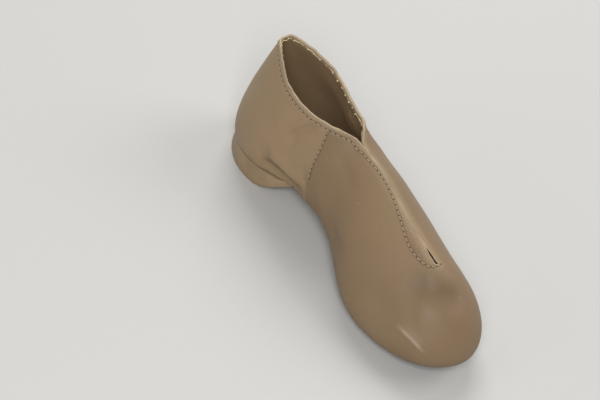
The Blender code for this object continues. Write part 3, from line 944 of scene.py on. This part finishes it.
def shade(colour, share):
    """The colour, lighter above a share of 1 and darker below it."""
    return [part * share for part in colour]


def patched(tree, place, size, main, second, third):
    """Soft patches of three colours; Color and Mask are its outputs."""
    colours = {"Main": rgba(main), "Second": rgba(second), "Third": rgba(third)}
    return use_group(tree, place, patch_group(), {"Patch": size, **colours})


def bare_material(name, constants):
    """A material with only its shader, whose unvarying values are set on its sockets."""
    old = bpy.data.materials.get(name)
    if old is not None:
        bpy.data.materials.remove(old)
    material = bpy.data.materials.new(name)
    material.use_nodes = True
    tree = material.node_tree
    tree.nodes.clear()
    shader = put(tree, "ShaderNodeBsdfPrincipled", constants)
    output = put(tree, "ShaderNodeOutputMaterial")
    join(tree, (shader, "BSDF", output, "Surface"))
    place = put(tree, "ShaderNodeTexCoord")
    return material, tree, shader, place


def roughen(tree, shader, mask, output, span, roughness):
    """Lets the roughness follow a mask, from the first value to the second over the span."""
    rough = ramp(tree, *span, *roughness)
    join(tree, (mask, output, rough, 0), (rough, 0, shader, "Roughness"))


def bump(tree, shader, *layers):
    """Chains bumps into the shader; each layer is (node, output, depth in metres)."""
    last = None
    for node, output, depth in layers:
        step = put(tree, "ShaderNodeBump", {"Strength": 1.0, "Distance": depth})
        join(tree, (node, output, step, "Height"))
        if last is not None:
            join(tree, (last, "Normal", step, "Normal"))
        last = step
    join(tree, (last, "Normal", shader, "Normal"))


def number(tree, name):
    """A number that the piece stores at each of its points."""
    return put(tree, "ShaderNodeAttribute", attribute_name=name)


def outer_leather(colours, sizes):
    """Soft tan leather: grain, patches, painted shade on the vamp and in hollows, scuffs, a painted
    highlight, a paler lip, painted shade in the groove, and gathers.
    """
    material, tree, shader, place = bare_material(
        "soft_tan_leather",
        {"Coat Weight": 0.08, "Coat Roughness": 0.48, "Specular IOR Level": 0.30},
    )
    patches = patched(
        tree, place, 0.032, colours.leather, colours.leather_warm, colours.leather_dull
    )
    scuffs = use_group(tree, place, scuff_group(), {"Amount": 0.35})
    highlight_and_shade_marks = number(tree, "marks")
    # Painted shade: marks below 0 darken the leather towards the painted shade colour, in the tuck,
    # the toe dent and low on the toe
    painted_shade_mask = maths(tree, "MULTIPLY", {1: -1.0}, use_clamp=True)
    painted_shade_blend = blend(tree, PAINTED_SHADE)
    # Scuffs are wear; marks above 0 are a painted highlight on the toe ridge and a paler line on the
    # tuck lip
    pale = maths(tree, "MAXIMUM")
    # Painted shade: the vamp's colour is the leather's times a share below 1, to stand for the shade
    # it lies in
    vamp = number(tree, "vamp")
    vamp_shade = blend(tree, colours.vamp, blend_type="MULTIPLY")
    # Paler towards the colour of wear and of the painted highlight
    rubbed = blend(tree, WEAR_AND_HIGHLIGHT)
    rim = number(tree, "from_rim")
    band = ramp(tree, 0.0, EDGE_GLOW, 0.42, 0.0)
    bright = blend(tree, colours.edge)
    row = number(tree, "from_row")
    groove = ramp(tree, 0.0, GROOVE_WIDTH, 1.0, 0.0, interpolation_type="SMOOTHSTEP")
    shadow = maths(tree, "MULTIPLY", {1: 0.30})
    dark = blend(tree, GROOVE_SHADE)
    grain = use_group(tree, place, grain_group(), {"Cell": sizes.grain})
    along = number(tree, "rim_run")
    gather = number(tree, "gather")
    turns = maths(tree, "MULTIPLY", {1: math.tau / GATHER_LENGTH})
    wave = maths(tree, "SINE")
    pleat = maths(tree, "MULTIPLY")
    down = maths(tree, "MULTIPLY", {1: -1.0})
    join(
        tree,
        (scuffs, "Mask", pale, 0),
        (highlight_and_shade_marks, "Fac", pale, 1),
        (vamp, "Fac", vamp_shade, 0),
        (patches, "Color", vamp_shade, 6),
        (highlight_and_shade_marks, "Fac", painted_shade_mask, 0),
        (painted_shade_mask, 0, painted_shade_blend, 0),
        (vamp_shade, 2, painted_shade_blend, 6),
        (pale, 0, rubbed, 0),
        (painted_shade_blend, 2, rubbed, 6),
        (rim, "Fac", band, 0),
        (band, 0, bright, 0),
        (rubbed, 2, bright, 6),
        (row, "Fac", groove, 0),
        (groove, 0, shadow, 0),
        (shadow, 0, dark, 0),
        (bright, 2, dark, 6),
        (dark, 2, shader, "Base Color"),
        (along, "Fac", turns, 0),
        (turns, 0, wave, 0),
        (wave, 0, pleat, 0),
        (gather, "Fac", pleat, 1),
        (groove, 0, down, 0),
    )
    roughen(tree, shader, patches, "Mask", PATCH_SPAN, (0.44, 0.58))
    bump(tree, shader, (grain, "Height", 0.000035), (pleat, 0, 0.00012), (down, 0, 0.00032))
    return material


def lining_material(colours, sizes):
    """Lining, with the leather turned in under the collar, paler partly as painted light on the top of
    the inner wall, and a ragged pale strip at its edge.
    """
    material, tree, shader, place = bare_material(
        "lining_and_turn_in", {"Sheen Weight": 0.12, "Specular IOR Level": 0.3}
    )
    rim = number(tree, "from_rim")
    ragged = put(tree, "ShaderNodeTexNoise", {"Scale": 420.0, "Detail": 3.0})
    wander = maths(tree, "MULTIPLY", {1: WANDER})
    from_rim = maths(tree, "ADD")
    edge = ramp(tree, *TURN_IN, 1.0, 0.0)
    strip = ramp(tree, *STRIP, 1.0, 0.0)
    fringe = blend(tree, PALE_STRIP)
    patches = patched(
        tree, place, 0.02, colours.lining, shade(colours.lining, 1.12), shade(colours.lining, 0.86)
    )
    # Partly painted light: the turn-in's pale colour also stands for the light on the top of the inner
    # wall
    over = blend(tree, colours.turn_in_with_light)
    grain = use_group(tree, place, grain_group(), {"Cell": sizes.grain * 0.7})
    join(
        tree,
        (place, "Object", ragged, "Vector"),
        (ragged, 0, wander, 0),
        (wander, 0, from_rim, 0),
        (rim, "Fac", from_rim, 1),
        (from_rim, 0, edge, 0),
        (from_rim, 0, strip, 0),
        (edge, 0, over, 0),
        (patches, "Color", over, 6),
        (strip, 0, fringe, 0),
        (over, 2, fringe, 6),
        (fringe, 2, shader, "Base Color"),
    )
    roughen(tree, shader, patches, "Mask", PATCH_SPAN, (0.7, 0.9))
    bump(tree, shader, (grain, "Height", 0.00005), (edge, 0, 0.0004))
    return material


def smooth_leather(name, colour, lighter, darker, cell, depth, roughness, constants):
    """Leather or leather board, with patches a share lighter and darker, grain and scuffs."""
    material, tree, shader, place = bare_material(name, constants)
    patches = patched(tree, place, 0.018, colour, shade(colour, lighter), shade(colour, darker))
    scuffs = use_group(tree, place, scuff_group(), {"Amount": 0.4})
    rubbed = blend(tree, RUBBED_BOARD)
    grain = use_group(tree, place, grain_group(), {"Cell": cell})
    join(
        tree,
        (scuffs, "Mask", rubbed, 0),
        (patches, "Color", rubbed, 6),
        (rubbed, 2, shader, "Base Color"),
    )
    roughen(tree, shader, patches, "Mask", PATCH_SPAN, roughness)
    bump(tree, shader, (grain, "Height", depth))
    return material


def woven(name, colour, rib, thread, depth, sheen):
    """Woven or knitted stuff with ribs, darker between them."""
    material, tree, shader, place = bare_material(name, {"Sheen Weight": sheen})
    ribs = use_group(tree, place, rib_group(), {"Rib": rib, "Thread": thread})
    fuzz = put(tree, "ShaderNodeTexNoise", {"Scale": 1800.0, "Detail": 2.0})
    tone = blend(tree, colour, shade(colour, 0.55))
    join(
        tree,
        (place, "Object", fuzz, "Vector"),
        (ribs, "Height", tone, 0),
        (tone, 2, shader, "Base Color"),
    )
    roughen(tree, shader, fuzz, 0, FUZZ_SPAN, (0.75, 0.95))
    bump(tree, shader, (ribs, "Height", depth), (fuzz, 0, depth * 0.3))
    return material


def suede_material(colours):
    """Dark suede: a short nap, paler where it is rubbed and darker in other patches."""
    material, tree, shader, place = bare_material(
        "dark_suede", {"Sheen Weight": 0.25, "Sheen Roughness": 0.6, "Specular IOR Level": 0.2}
    )
    nap = put(tree, "ShaderNodeTexNoise", {"Scale": 2600.0, "Detail": 4.0, "Roughness": 0.7})
    patches = patched(
        tree, place, 0.012, colours.suede, shade(colours.suede, 1.5), shade(colours.suede, 0.7)
    )
    join(
        tree,
        (place, "Object", nap, "Vector"),
        (patches, "Color", shader, "Base Color"),
    )
    roughen(tree, shader, nap, 0, FUZZ_SPAN, (0.85, 1.0))
    bump(tree, shader, (nap, 0, 0.00022))
    return material


def speckled(name, constants, colour, darker, scale, detail, roughness, depth):
    """Plain stuff whose tone, roughness and height follow one fine noise."""
    material, tree, shader, place = bare_material(name, constants)
    specks = put(tree, "ShaderNodeTexNoise", {"Scale": scale, "Detail": detail})
    tone = blend(tree, colour, shade(colour, darker))
    join(
        tree,
        (place, "Object", specks, "Vector"),
        (specks, 0, tone, 0),
        (tone, 2, shader, "Base Color"),
    )
    roughen(tree, shader, specks, 0, FUZZ_SPAN, roughness)
    bump(tree, shader, (specks, 0, depth))
    return material


def thread_material(colours):
    """Twisted sewing thread."""
    constants = {"Sheen Weight": 0.2, "Specular IOR Level": 0.4}
    return speckled(
        "sewing_thread", constants, colours.thread, 0.7, 3500.0, 2.0, (0.5, 0.7), 0.00006
    )


def hole_material(colours):
    """The dark inside of a needle hole."""
    constants = {"Specular IOR Level": 0.1}
    return speckled(
        "needle_hole", constants, colours.needle_hole, 0.6, 1500.0, 2.0, (0.85, 1.0), 0.0001
    )


def floor_material(stage):
    """Plain pale paper with a faint tooth."""
    constants = {"Specular IOR Level": 0.15}
    return speckled(
        "pale_floor", constants, stage.floor, 0.985, 900.0, 3.0, (0.8, 0.9), 0.00003
    )


# Operators: one for each piece or group of like pieces


class JAZZSHOE_OT_leather_upper(bpy.types.Operator):
    """Make the soft leather upper: the solid's shape, refined, with the listed folds"""

    bl_idname = "jazz_shoe.leather_upper"
    bl_label = "Leather upper"

    # Farther than this from the stitch row, the whole distance counts and not its part across
    FAR_FROM_ROW = 8 * MM
    # The puffed band beside the edge: how far from the rim it can reach, how high it swells and
    # how wide it is as a rule
    BAND_REACH = 9 * MM
    BAND_SWELL = 0.45 * MM
    BAND_WIDTH = 4 * MM
    # The leather's unevenness: the height on the shoe that it leads away from, how high it is,
    # and how fine its large and small lumps are
    MID_HEIGHT = 28 * MM
    LUMP = 0.16 * MM
    COARSE = 62
    FINE = 150

    def execute(self, context):
        settings = context.scene.jazz_shoe
        cage = merged_copy("upper")
        kinds = split_upper(cage)
        for face in cage.faces:
            face.material_index = 1 if kinds[face] == "inside" else 0
        mesh = refined(cage, "leather_upper", 2)

        tree = outside_tree()
        rim = smooth_rim()
        points = points_of(mesh)
        forward = forward_of(points[:, 1])
        run, from_rim = nearest_on(points, rim)
        rows = stitch_rows(rim, tree)
        from_row = np.min([nearest_on(points, row)[1] for row in rows], axis=0)
        band = self.row_offset(points, rows[0], rim, tree)
        beyond = (forward > SLIT_READ_FROM) & (points[:, 0] > slit_side(rim, points[:, 1]))
        band = np.where(beyond, np.abs(band), band)

        strength = settings.sizes.fold_strength
        moved = folded(points, all_fold_lines(tree), strength)
        moved = self.puffed(mesh, moved, from_rim, band)
        moved = self.uneven(moved, strength)
        mesh.vertices.foreach_set("co", moved.ravel())
        mesh.update()

        step = line_length(rim) / (len(rim) - 1)
        keep_number(mesh, "rim_run", run * step)
        keep_number(mesh, "from_rim", from_rim)
        keep_number(mesh, "from_row", from_row)
        keep_number(mesh, "vamp", self.vamp(points, forward))
        keep_number(mesh, "marks", self.marked(points, tree))
        keep_number(mesh, "gather", self.gathered(forward, from_rim, band))
        materials = (
            outer_leather(settings.colours, settings.sizes),
            lining_material(settings.colours, settings.sizes),
        )
        add_piece(mesh, materials, "tan_leather", "upper")
        return {"FINISHED"}

    def row_offset(self, points, row, rim, tree):
        """Signed distance to a stitch row, negative between the row and the rim."""
        away = row_away(row, tree, rim)
        index, distance = nearest_on(points, row)
        signed = ((points - row[index]) * away[index]).sum(axis=1)
        return np.where(distance > self.FAR_FROM_ROW, np.sign(signed) * distance, signed)

    def vamp(self, points, forward):
        """1 on the vamp, in front of the side seam, and 0 on the quarters."""
        height = (points[:, 2] - CAD_LOW.z) / SHOE_HEIGHT
        seam = np.array((*SEAM_ROW, SEAM_FOOT))[::-1]
        seam_forward = np.interp(height, seam[:, 1], seam[:, 0])
        return np.clip((forward - seam_forward) * SHOE_LENGTH / MM + 1.0, 0, 1)

    def gathered(self, forward, from_rim, band):
        """Where the leather gathers beside the throat.

        It is 0 within 0.8 mm of the edge and beyond the stitch row, and full from 2.3 mm from
        the edge to 1.2 mm from the row.
        """
        gathers = on_stretch(GATHERED, forward)
        gathers *= np.clip((from_rim / MM - 0.8) / 1.5, 0, 1) * np.clip(-band / MM / 1.2, 0, 1)
        return gathers

    def marked(self, points, tree):
        """How far each point is painted paler, up to 1, or painted with shade, down to -1."""
        total = np.zeros(len(points))
        for mark in MARKS:
            line, _, _ = fold_line(mark, tree)
            index, distance = nearest_on(points, line)
            spread = np.exp(-((distance / (mark.width * MM)) ** 2))
            total += mark.depth * end_fade(index) * spread
        return total

    def lined_points(self, mesh):
        """True for the points of the inside."""
        lined = np.zeros(len(mesh.vertices), bool)
        for face in mesh.polygons:
            if face.material_index == 1:
                lined[list(face.vertices)] = True
        return lined

    def puffed(self, mesh, points, from_rim, offset):
        """Swells the band between the rim and the stitch row beside it."""
        normals = np.empty(len(points) * 3)
        mesh.vertices.foreach_get("normal", normals)
        normals = normals.reshape(-1, 3)
        band = (offset < 0) & ~self.lined_points(mesh) & (from_rim < self.BAND_REACH)
        width = from_rim - offset
        share = np.clip(from_rim / np.maximum(width, 0.1 * MM), 0, 1)
        swell = self.BAND_SWELL * np.sin(math.pi * share)
        swell = swell * np.clip(width / self.BAND_WIDTH, 0.3, 1.5)
        return points + normals * np.where(band, swell, 0)[:, None]

    def uneven(self, points, strength):
        """A slight hand-made unevenness, the same inside and outside."""
        result = points.copy()
        for index, point in enumerate(points):
            away = Vector((point[0], 0, point[2] - self.MID_HEIGHT))
            away.normalize()
            lump = noise.noise(Vector(point) * self.COARSE)
            lump += 0.5 * noise.noise(Vector(point) * self.FINE)
            result[index] += np.array(away) * lump * self.LUMP * strength
        return result


def smooth_rim():
    """The rim's middle at even steps, closed, from the slit's end back along the outer side."""
    rim = rim_middle()
    return even_line(rim, int(line_length(rim) / (0.8 * MM)))


class JAZZSHOE_OT_rolled_edge(bpy.types.Operator):
    """Make the rolled leather edge all round the collar and the throat slit"""

    bl_idname = "jazz_shoe.rolled_edge"
    bl_label = "Rolled edge"

    # How much lower the outer lip of the shut slit lies
    OUTER_LIP_DROP = 0.45 * MM
    # How far the outer side of the collar stands out and up
    FAR_OUT = 0.40 * MM
    FAR_UP = 0.45 * MM
    # The radius in places, as shares that are taken off or added
    THINNER_LENS = 0.6
    THINNER_LIP = 0.2
    THICKER_FAR = 0.30
    THICKER_LAP = 0.35
    UNEVEN = 0.05
    # Where the side seam's lap crosses the edge, and how wide it is, as shares of the length
    LAP = 0.372
    LAP_WIDTH = 0.006
    # The lining's edge: its radius, how far it lies inside and below the rolled edge in mm, and
    # how far short of the throat it stops, as a share of the length
    FRINGE_RADIUS = 0.36 * MM
    FRINGE_IN = 1.25
    FRINGE_DOWN = 0.80
    FRINGE_STOP = 0.015

    def execute(self, context):
        settings = context.scene.jazz_shoe
        sizes = settings.sizes
        rim = smooth_rim()
        moved = folded(rim, all_fold_lines(outside_tree()), sizes.fold_strength)[:-1]
        forward = forward_of(moved[:, 1])
        run = np.arange(len(moved)) * line_length(rim) / (len(rim) - 1) / MM
        aside = rim[:-1, 0] - slit_side(rim, rim[:-1, 1])

        # The two lips of the slit meet, and the outer one lies under the inner one
        shut = on_stretch(SHUT_SLIT, forward)
        spare = np.clip(np.abs(aside) - sizes.edge_radius, 0, MM)
        moved[:, 0] -= np.sign(aside) * spare * shut
        under = shut * (aside > 0)
        moved[:, 2] -= self.OUTER_LIP_DROP * under

        # Small waves round the back, and the far side stands out and up a little
        back = np.clip((0.30 - forward) / 0.1, 0, 1)
        moved[:, 2] += back * MM * (0.22 * np.sin(run / 2.1) + 0.16 * np.sin(run / 1.13 + 1))
        far = on_stretch(FAR_COLLAR, forward) * (aside > 0)
        moved[:, 0] += self.FAR_OUT * far
        moved[:, 2] += self.FAR_UP * far

        # Thinner round the lens and on the outer lip, thicker on the far side and at the lap
        lens = np.clip((forward - LENS_START + 0.02) / 0.02, 0, 1)
        lap = np.exp(-(((forward - self.LAP) / self.LAP_WIDTH) ** 2))
        shares = 1 - self.THINNER_LENS * lens - self.THINNER_LIP * under
        shares += self.THICKER_FAR * far + self.THICKER_LAP * lap
        shares += self.UNEVEN * np.sin(run / 1.7) * np.sin(run / 5.3)
        mesh = tube_mesh("rolled_edge", [(moved, shares, True)], sizes.edge_radius, 3)
        material = smooth_leather(
            "rolled_edge_leather",
            settings.colours.edge,
            1.1,
            0.82,
            sizes.grain * 0.6,
            0.00004,
            (0.42, 0.56),
            {"Coat Weight": 0.12, "Coat Roughness": 0.3},
        )
        add_piece(mesh, (material,), "tan_leather")
        self.fringe(rim, moved, forward, settings.colours.fringe)
        return {"FINISHED"}

    def fringe(self, rim, moved, forward, colour):
        """The lining's ragged pale edge, just inside the rolled edge of the collar."""
        mesh = merged_copy("upper")
        lined = loop_between(mesh, split_upper(mesh), "inside")
        mesh.free()
        nearest, _ = nearest_on(rim[:-1], lined)
        inward = lined[nearest] - rim[:-1]
        inward /= np.linalg.norm(inward, axis=1)[:, None]
        first = int(np.argmax(forward < THROAT_START))
        keep = np.roll(forward < THROAT_START - self.FRINGE_STOP, -first)
        turn = np.roll(np.arange(len(moved)), -first)[keep]
        run = np.arange(len(turn)) * line_length(rim) / (len(rim) - 1) / MM
        ragged = 0.5 * np.sin(run / 0.9) * np.sin(run / 3.7 + 1) + 0.5 * np.sin(run / 2.3 + 2)
        path = moved[turn] + inward[turn] * MM * (self.FRINGE_IN + 0.25 * ragged)[:, None]
        path[:, 2] -= MM * (self.FRINGE_DOWN + 0.30 * ragged)
        shares = 1 + 0.35 * np.sin(run / 1.3 + 1) * np.sin(run / 4.1)
        edge = tube_mesh("lining_edge", [(path, shares, False)], self.FRINGE_RADIUS, 2)
        material = smooth_leather(
            "frayed_lining_edge",
            colour,
            1.12,
            0.80,
            0.0006,
            0.00008,
            (0.70, 0.90),
            {"Specular IOR Level": 0.2},
        )
        add_piece(edge, (material,), "tan_leather")


class JAZZSHOE_OT_stitching(bpy.types.Operator):
    """Lay the sewing thread and punch the needle holes along every row"""

    bl_idname = "jazz_shoe.stitching"
    bl_label = "Stitching"

    # Points along the thread between two holes, and how far it stands out between them and
    # dives at each, in radii of the thread
    STEPS = 6
    PROUD = 1.1
    DIVE = 2.6

    def execute(self, context):
        settings = context.scene.jazz_shoe
        sizes = settings.sizes
        upper = bpy.data.objects["leather_upper"].data
        skin = BVHTree.FromPolygons(
            [vert.co.copy() for vert in upper.vertices],
            [list(face.vertices) for face in upper.polygons if face.material_index == 0],
        )
        tree = outside_tree()
        lines = all_fold_lines(tree)
        strands = []
        holes = bmesh.new()
        for row in stitch_rows(smooth_rim(), tree):
            count = max(2, round(line_length(row) / sizes.stitch_pitch))
            fine = folded(even_line(row, count * self.STEPS + 1), lines, sizes.fold_strength)
            laid = [skin.find_nearest(Vector(point))[:2] for point in fine]
            thread = []
            for index, (place, normal) in enumerate(laid):
                turn = index % self.STEPS / self.STEPS
                dive = self.DIVE * abs(math.cos(math.pi * turn)) ** 5
                lift = sizes.thread_radius * (self.PROUD - dive)
                thread.append((place + normal * lift)[:])
                if index % self.STEPS == 0:
                    near = laid[max(0, index - 1) : index + 2]
                    self.punch(holes, place, normal, near[-1][0] - near[0][0], sizes.hole_radius)
            strands.append((np.array(thread), np.ones(len(thread)), False))
        mesh = tube_mesh("top_stitching", strands, sizes.thread_radius, 1)
        add_piece(mesh, (thread_material(settings.colours),), "tan_leather")
        dots = bpy.data.meshes.new("needle_holes")
        holes.to_mesh(dots)
        holes.free()
        add_piece(dots, (hole_material(settings.colours),), "tan_leather")
        return {"FINISHED"}

    def punch(self, holes, place, normal, ahead, radius):
        """One needle hole: a low dark dimple, longer along the row."""
        across = normal.cross(ahead).normalized()
        along = across.cross(normal)
        turn = Matrix((along, across, normal)).transposed().to_4x4()
        size = Matrix.Diagonal((radius * 1.15, radius, radius * 0.3, 1.0))
        bmesh.ops.create_uvsphere(
            holes,
            u_segments=8,
            v_segments=6,
            radius=1.0,
            matrix=Matrix.Translation(place) @ turn @ size,
        )


def solid_piece(node, name, bevel_width, material, slot):
    """A CAD solid's own shape with its hard edges softened."""
    shape = merged_copy(node)
    hard = [edge for edge in shape.edges if edge.calc_face_angle(0.0) > HARD_ANGLE]
    if bevel_width > 0:
        bmesh.ops.bevel(
            shape,
            geom=hard,
            offset=bevel_width,
            offset_type="OFFSET",
            segments=3,
            profile=0.5,
            affect="EDGES",
            clamp_overlap=True,
            material=-1,
        )
    mesh = bpy.data.meshes.new(name)
    shape.to_mesh(mesh)
    shape.free()
    return add_piece(mesh, (material,), slot, node)


class JAZZSHOE_OT_soles(bpy.types.Operator):
    """Finish the heel block and the suede forefoot sole"""

    bl_idname = "jazz_shoe.soles"
    bl_label = "Heel and forefoot sole"

    def execute(self, context):
        settings = context.scene.jazz_shoe
        board = smooth_leather(
            "heel_board",
            settings.colours.heel,
            1.07,
            0.88,
            settings.sizes.grain * 1.2,
            0.00003,
            (0.46, 0.62),
            {"Specular IOR Level": 0.4},
        )
        solid_piece("heel", "heel_block", 0.35 * MM, board, "tan_heel")
        suede = suede_material(settings.colours)
        solid_piece("forefoot_sole", "suede_forefoot", 0.25 * MM, suede, "dark_sole")
        return {"FINISHED"}


class JAZZSHOE_OT_inside(bpy.types.Operator):
    """Finish the sock inside and the elastic gusset under the throat"""

    bl_idname = "jazz_shoe.inside"
    bl_label = "Sock and gusset"

    def execute(self, context):
        colours = context.scene.jazz_shoe.colours
        sock = woven("sock_fabric", colours.sock, 0.0009, 0.0009, 0.00008, 0.2)
        solid_piece("insole", "sock", 0.2 * MM, sock, "grey_sock")
        elastic = woven("ribbed_elastic", colours.elastic, 0.0011, 0.0005, 0.00012, 0.1)
        solid_piece("gusset", "elastic_gusset", 0.0, elastic, "tan_elastic")
        return {"FINISHED"}


class JAZZSHOE_OT_stage(bpy.types.Operator):
    """Set the pale floor, the soft light and the camera"""

    bl_idname = "jazz_shoe.stage"
    bl_label = "Floor, light and camera"

    # How far the floor lies under the sole, and the soft light from all round
    FLOOR_DROP = 0.02 * MM
    ROOM_COLOUR = (0.98, 0.965, 0.95)
    ROOM_LIGHT = 0.13

    # The camera as fitted to the shoe: angles in degrees, lengths in mm
    AZIMUTH = -47.831
    ELEVATION = 45.088
    ROLL = 18.525
    DISTANCE = 890.298
    AIM = (0.21, 2.385, 27.15)
    OFFSET = (-28.406, 1.445)

    def execute(self, context):
        stage = context.scene.jazz_shoe.stage
        self.lay_floor(stage)
        self.hang_lights(context.scene, stage)
        self.set_camera(context.scene, stage)
        return {"FINISHED"}

    def lay_floor(self, stage):
        shape = bmesh.new()
        bmesh.ops.create_grid(
            shape,
            x_segments=2,
            y_segments=2,
            size=stage.floor_size / 2,
            matrix=Matrix.Translation((0, 0, CAD_LOW.z - self.FLOOR_DROP)),
        )
        mesh = bpy.data.meshes.new("floor")
        shape.to_mesh(mesh)
        shape.free()
        mesh.materials.append(floor_material(stage))
        floor = bpy.data.objects.new("floor", mesh)
        bpy.context.scene.collection.objects.link(floor)

    def hang_lights(self, scene, stage):
        for lamp in LAMPS:
            data = bpy.data.lights.new(lamp.name, "AREA")
            data.shape = "RECTANGLE"
            data.size, data.size_y = lamp.size
            data.energy = lamp.power * stage.light_share
            data.color = lamp.colour
            light = bpy.data.objects.new(lamp.name, data)
            scene.collection.objects.link(light)
            place = Vector(lamp.place)
            light.location = place
            light.rotation_euler = (-place).to_track_quat("-Z", "Y").to_euler()
        world = bpy.data.worlds.new("soft_room")
        scene.world = world
        world.use_nodes = True
        sky = world.node_tree.nodes["Background"]
        sky.inputs["Color"].default_value = rgba(self.ROOM_COLOUR)
        sky.inputs["Strength"].default_value = self.ROOM_LIGHT * stage.light_share
        scene.view_settings.view_transform = "Standard"

    def set_camera(self, scene, stage):
        turn = math.radians(self.AZIMUTH)
        rise = math.radians(self.ELEVATION)
        roll = math.radians(self.ROLL)
        back = Vector(
            (
                math.sin(turn) * math.cos(rise),
                -math.cos(turn) * math.cos(rise),
                math.sin(rise),
            )
        )
        level = Vector((math.cos(turn), math.sin(turn), 0))
        upward = back.cross(level)
        right = math.cos(roll) * level + math.sin(roll) * upward
        top = math.cos(roll) * upward - math.sin(roll) * level
        data = bpy.data.cameras.new("camera")
        data.lens = stage.camera_lens
        data.sensor_width = 36.0
        camera = bpy.data.objects.new("camera", data)
        scene.collection.objects.link(camera)
        place = Vector(self.AIM) + back * self.DISTANCE
        place += right * self.OFFSET[0] + top * self.OFFSET[1]
        camera.matrix_world = (
            Matrix.Translation(place * MM) @ Matrix((right, top, back)).transposed().to_4x4()
        )
        scene.camera = camera


class JAZZSHOE_PT_sidebar(bpy.types.Panel):
    """Lists the shoe's settings and its pieces"""

    bl_label = "Jazz shoe"
    bl_idname = "JAZZSHOE_PT_sidebar"
    bl_space_type = "VIEW_3D"
    bl_region_type = "UI"
    bl_category = "Jazz shoe"

    def draw(self, context):
        settings = context.scene.jazz_shoe
        for title, group in (
            ("Colours", settings.colours),
            ("Sizes", settings.sizes),
            ("Stage", settings.stage),
        ):
            box = self.layout.box()
            box.label(text=title)
            for name in group.bl_rna.properties.keys():
                if name not in ("rna_type", "name"):
                    box.prop(group, name)
        for maker in MAKERS:
            self.layout.operator(maker.bl_idname)


MAKERS = (
    JAZZSHOE_OT_leather_upper,
    JAZZSHOE_OT_rolled_edge,
    JAZZSHOE_OT_stitching,
    JAZZSHOE_OT_soles,
    JAZZSHOE_OT_inside,
    JAZZSHOE_OT_stage,
)
CLASSES = (ShoeColours, ShoeSizes, ShoeStage, ShoeSettings, *MAKERS, JAZZSHOE_PT_sidebar)


def register():
    for item in CLASSES:
        bpy.utils.register_class(item)
    bpy.types.Scene.jazz_shoe = PointerProperty(type=ShoeSettings)


def unregister():
    del bpy.types.Scene.jazz_shoe
    for item in reversed(CLASSES):
        bpy.utils.unregister_class(item)


def main():
    register()
    bpy.ops.jazz_shoe.stage()
    bpy.ops.jazz_shoe.leather_upper()
    bpy.ops.jazz_shoe.rolled_edge()
    bpy.ops.jazz_shoe.stitching()
    bpy.ops.jazz_shoe.soles()
    bpy.ops.jazz_shoe.inside()
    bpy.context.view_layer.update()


if __name__ == "__main__":
    main()
